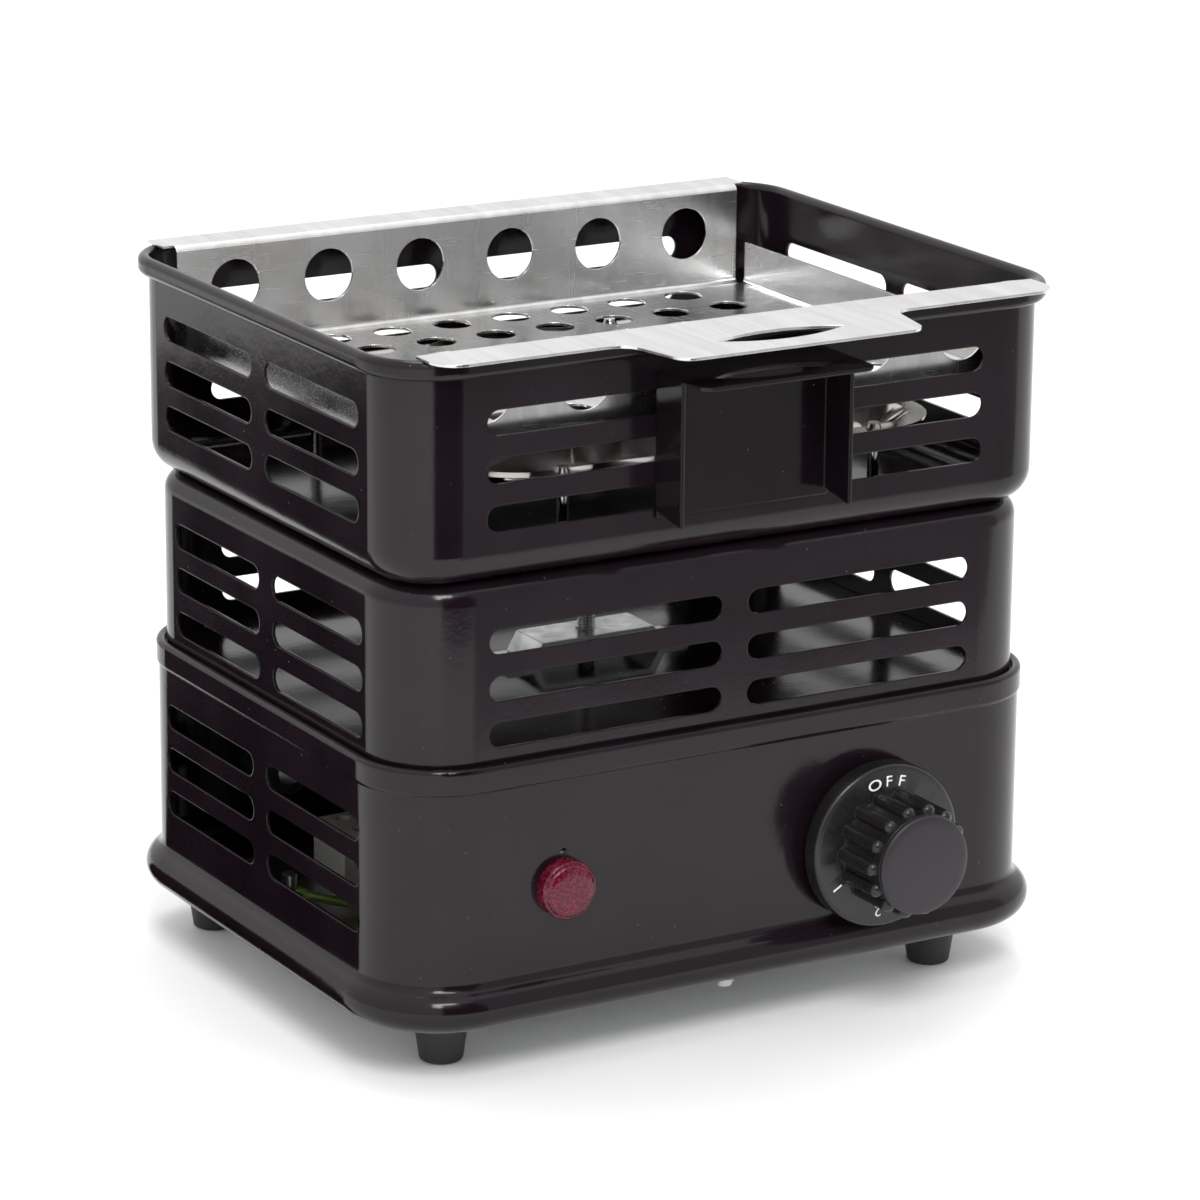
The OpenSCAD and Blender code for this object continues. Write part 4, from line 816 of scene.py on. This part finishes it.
class BURNER_OT_element(bpy.types.Operator):
    """Winds the tubular heating element, from one leg to the other, with its cold pins"""

    bl_idname = "burner.element"
    bl_label = "Heating element"
    bl_options = {"REGISTER", "UNDO"}

    def execute(self, context):
        route = element_route()
        pieces = [tube(route, ELEMENT_D, 6)]
        for x in LEG_X:
            pin = turned([(1.15 * MM, 133.45 * MM), (1.15 * MM, 139.9 * MM)], sides=24)
            pin.location = (x * MM, (LEG_Y + SEAT_Y) * MM, 0)
            pieces.append(pin)
        place(settle(joined(pieces), "element_coil"), "burner", "element_sheath", "heating_element")
        return {"FINISHED"}


class BURNER_OT_wires(bpy.types.Operator):
    """Lays the internal wires along their routes, with their push-on sleeves and the earth ring"""

    bl_idname = "burner.wires"
    bl_label = "Wires"
    bl_options = {"REGISTER", "UNDO"}

    def execute(self, context):
        for node, (slot, diameter, routes, sleeves) in WIRES.items():
            pieces = [tube([(x * MM, (y + SEAT_Y) * MM, z * MM) for x, y, z in curve_through(route, 10)],
                           diameter * MM, 3) for route in routes]
            for x, z in sleeves:
                pieces.append(block(((x - 3.75) * MM, (-46.9 + SEAT_Y) * MM, (z - 1.3) * MM),
                                    ((x + 3.75) * MM, (-37.4 + SEAT_Y) * MM, (z + 1.3) * MM), 0.35 * MM))
            if node == "earth_wire":
                ring = turned([(2 * MM, 0), (4.4 * MM, 0), (4.5 * MM, 0.1 * MM), (4.5 * MM, 0.7 * MM),
                               (4.4 * MM, 0.8 * MM), (2 * MM, 0.8 * MM)], sides=48, closed=True)
                ring.location = (-72 * MM, (30 + SEAT_Y) * MM, 17.3 * MM)
                pieces.append(ring)
            place(settle(joined(pieces), node.replace("wire", "lead")), "burner", slot, node)
        return {"FINISHED"}


class BURNER_OT_bolt(bpy.types.Operator):
    """Cuts the tie bolt: a chamfered hexagon head and a shank with a turning thread"""

    bl_idname = "burner.bolt"
    bl_label = "Tie bolt"
    bl_options = {"REGISTER", "UNDO"}

    def execute(self, context):
        sizes = context.scene.burner_sizes
        low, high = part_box("tie_bolt")
        centre = (low + high) / 2
        pitch, depth = sizes.thread_pitch, sizes.thread_depth
        turns = int((high.z - BOLT_HEAD - low.z - 1 * MM) / pitch)
        deselect()
        bpy.ops.mesh.primitive_circle_add(vertices=3, radius=depth, location=(BOLT_R, 0, 0))
        thread = context.object
        bpy.ops.object.transform_apply(location=True, rotation=True, scale=True)
        root = BOLT_R - depth - 0.1 * MM
        corners = [(BOLT_R - 0.02 * MM, 0, 0.5 * pitch), (root, 0, 0.04 * pitch), (root, 0, 0.96 * pitch)]
        for corner, point in zip(thread.data.vertices, corners):
            corner.co = point
        screw = thread.modifiers.new("thread", "SCREW")
        screw.axis, screw.angle, screw.screw_offset = "Z", 2 * math.pi, pitch
        screw.steps = screw.render_steps = 24
        screw.iterations = turns
        only(thread)
        bpy.ops.object.modifier_apply(modifier=screw.name)
        bpy.ops.object.mode_set(mode="EDIT")
        bpy.ops.mesh.select_all(action="SELECT")
        bpy.ops.mesh.fill_holes(sides=0)
        bpy.ops.object.mode_set(mode="OBJECT")
        thread.location.z = 0.6 * MM
        only(thread)
        bpy.ops.object.transform_apply(location=True, rotation=True, scale=True)
        seat = high.z - low.z - BOLT_HEAD
        shank = turned([(1.3 * MM, 0), (1.9 * MM, 0.6 * MM), (BOLT_R - depth, 1.0 * MM),
                        (BOLT_R - depth, seat - 0.4 * MM), (BOLT_R, seat - 0.2 * MM), (BOLT_R, seat)], sides=32)
        across = span("tie_bolt").x / 2
        head = turned([(across, seat), (across, seat + BOLT_HEAD)], sides=6)
        crown = turned([(0.86 * across, seat - 0.1 * MM), (1.02 * across, seat + 0.35 * MM),
                        (1.02 * across, seat + BOLT_HEAD - 0.5 * MM), (0.84 * across, seat + BOLT_HEAD)], sides=96)
        only(head)
        head = combined(head, crown, "INTERSECT")
        bolt = joined([shank, thread, head])
        bolt.location = (centre.x, centre.y, low.z)
        place(settle(bolt, "threaded_bolt", 30), "burner", "bright_zinc", "tie_bolt")
        return {"FINISHED"}


def card(name, corners, glow):
    """A flat card that only reflections see"""
    deselect()
    bpy.ops.mesh.primitive_plane_add(size=1)
    piece = bpy.context.object
    for k, at in zip((0, 1, 3, 2), corners):
        piece.data.vertices[k].co = at
    piece.name = piece.data.name = name
    piece.data.materials.append(Finish(name).finish(Base_Color=(0, 0, 0), Roughness=1.0, Specular_IOR_Level=0.0,
                                                    Emission_Color=(1, 1, 1), Emission_Strength=glow))
    piece.visible_camera = piece.visible_diffuse = piece.visible_shadow = piece.visible_transmission = False


class BURNER_OT_stage(bpy.types.Operator):
    """Sets the pale floor, the soft surround and the camera"""

    bl_idname = "burner.stage"
    bl_label = "Studio"
    bl_options = {"REGISTER", "UNDO"}

    def execute(self, context):
        studio = context.scene.burner_studio
        floor = turned([(FLOOR_R - 0.1, -0.2), (FLOOR_R, -0.1), (FLOOR_R, -0.002), (FLOOR_R - 0.01, 0)])
        floor.location.z = -0.2 * MM
        settle(floor, "floor")
        floor.data.materials.append(studio_floor("floor_paper", studio.floor_grey))

        world = bpy.data.worlds.new("studio")
        context.scene.world = world
        world.use_nodes = True
        tree = world.node_tree
        surround = tree.nodes["Background"]
        surround.inputs["Color"].default_value = (1, 1, 1, 1)
        direction = tree.nodes.new("ShaderNodeTexCoord").outputs["Generated"]
        parts = tree.nodes.new("ShaderNodeSeparateXYZ")
        tree.links.new(direction, parts.inputs[0])
        height = Value(tree, parts.outputs["Z"])
        seen = Value(tree, tree.nodes.new("ShaderNodeLightPath").outputs["Is Camera Ray"])
        glow = height.step(-0.1, 0.9) * 0.25 + 0.9
        strength = (glow * (1 - seen) + seen) * studio.world
        tree.links.new(strength.socket, surround.inputs["Strength"])

        # A dark card before the front corner, a grey one before the front, and a dark one on the floor by the left
        for name, left, right, y, glow in (("corner_card", -0.24, 0.08, -0.446, 0.0),
                                           ("front_card", 0.02, 0.6, -0.302, 0.55)):
            card(name, [(left, y, 0), (right, y, 0), (right, y, 0.5), (left, y, 0.5)], glow)
        card("side_card", [(x, y, MM) for x, y in ((-0.1, -0.035), (-0.5, 0.58), (-0.36, 0.7), (-0.1, 0.13))], 0.0)

        for name, at, size, power in (("key", (-0.5, -1.3, 1.5), 0.7, 22), ("top", (0.2, 0.4, 2.0), 0.9, 14)):
            deselect()
            bpy.ops.object.light_add(type="AREA", location=at)
            light = context.object
            light.name = light.data.name = name
            light.data.energy, light.data.size = power, size
            aim = Vector((0, 0, 0.1)) - Vector(at)
            light.rotation_euler = aim.to_track_quat("-Z", "Y").to_euler()

        yaw, pitch, roll = (math.radians(v) for v in (studio.azimuth, studio.elevation, studio.roll))
        back = Vector((math.sin(yaw) * math.cos(pitch), -math.cos(yaw) * math.cos(pitch), math.sin(pitch)))
        right = (-back).cross(Vector((0, 0, 1))).normalized()
        up = right.cross(-back)
        across = right * math.cos(roll) + up * math.sin(roll)
        upward = up * math.cos(roll) - right * math.sin(roll)
        target = Vector((4.2295, SEAT_Y, 93.956)) * MM
        bpy.ops.object.camera_add()
        camera = context.object
        camera.name = camera.data.name = "camera"
        camera.matrix_world = Matrix((across, upward, back)).transposed().to_4x4()
        camera.location = target + back * studio.distance
        camera.data.lens, camera.data.sensor_width = studio.lens, 36
        context.scene.camera = camera
        context.scene.view_settings.view_transform = "Standard"
        return {"FINISHED"}


class BURNER_PT_panel(bpy.types.Panel):
    """Lists the pieces, in the order that they are made, and the sizes and colours"""

    bl_idname = "BURNER_PT_panel"
    bl_label = "Charcoal burner"
    bl_space_type = "VIEW_3D"
    bl_region_type = "UI"
    bl_category = "Burner"

    def draw(self, context):
        for piece in PIECES:
            self.layout.operator(piece.bl_idname)
        for group in (context.scene.burner_finish, context.scene.burner_sizes, context.scene.burner_studio):
            box = self.layout.box()
            for name in group.__annotations__:
                box.prop(group, name)


PIECES = (BURNER_OT_materials, BURNER_OT_knob, BURNER_OT_marks, BURNER_OT_lamp, BURNER_OT_feet, BURNER_OT_element,
          BURNER_OT_wires, BURNER_OT_bolt, BURNER_OT_stage)
CLASSES = (BurnerFinish, BurnerSizes, StudioSettings) + PIECES + (BURNER_PT_panel,)


def register():
    for made in CLASSES:
        bpy.utils.register_class(made)
    bpy.types.Scene.burner_finish = PointerProperty(type=BurnerFinish)
    bpy.types.Scene.burner_sizes = PointerProperty(type=BurnerSizes)
    bpy.types.Scene.burner_studio = PointerProperty(type=StudioSettings)


def unregister():
    del bpy.types.Scene.burner_finish, bpy.types.Scene.burner_sizes, bpy.types.Scene.burner_studio
    for made in reversed(CLASSES):
        bpy.utils.unregister_class(made)


def main():
    register()
    for piece in PIECES:
        getattr(bpy.ops.burner, piece.bl_idname.split(".")[1])()


if __name__ == "__main__":
    main()
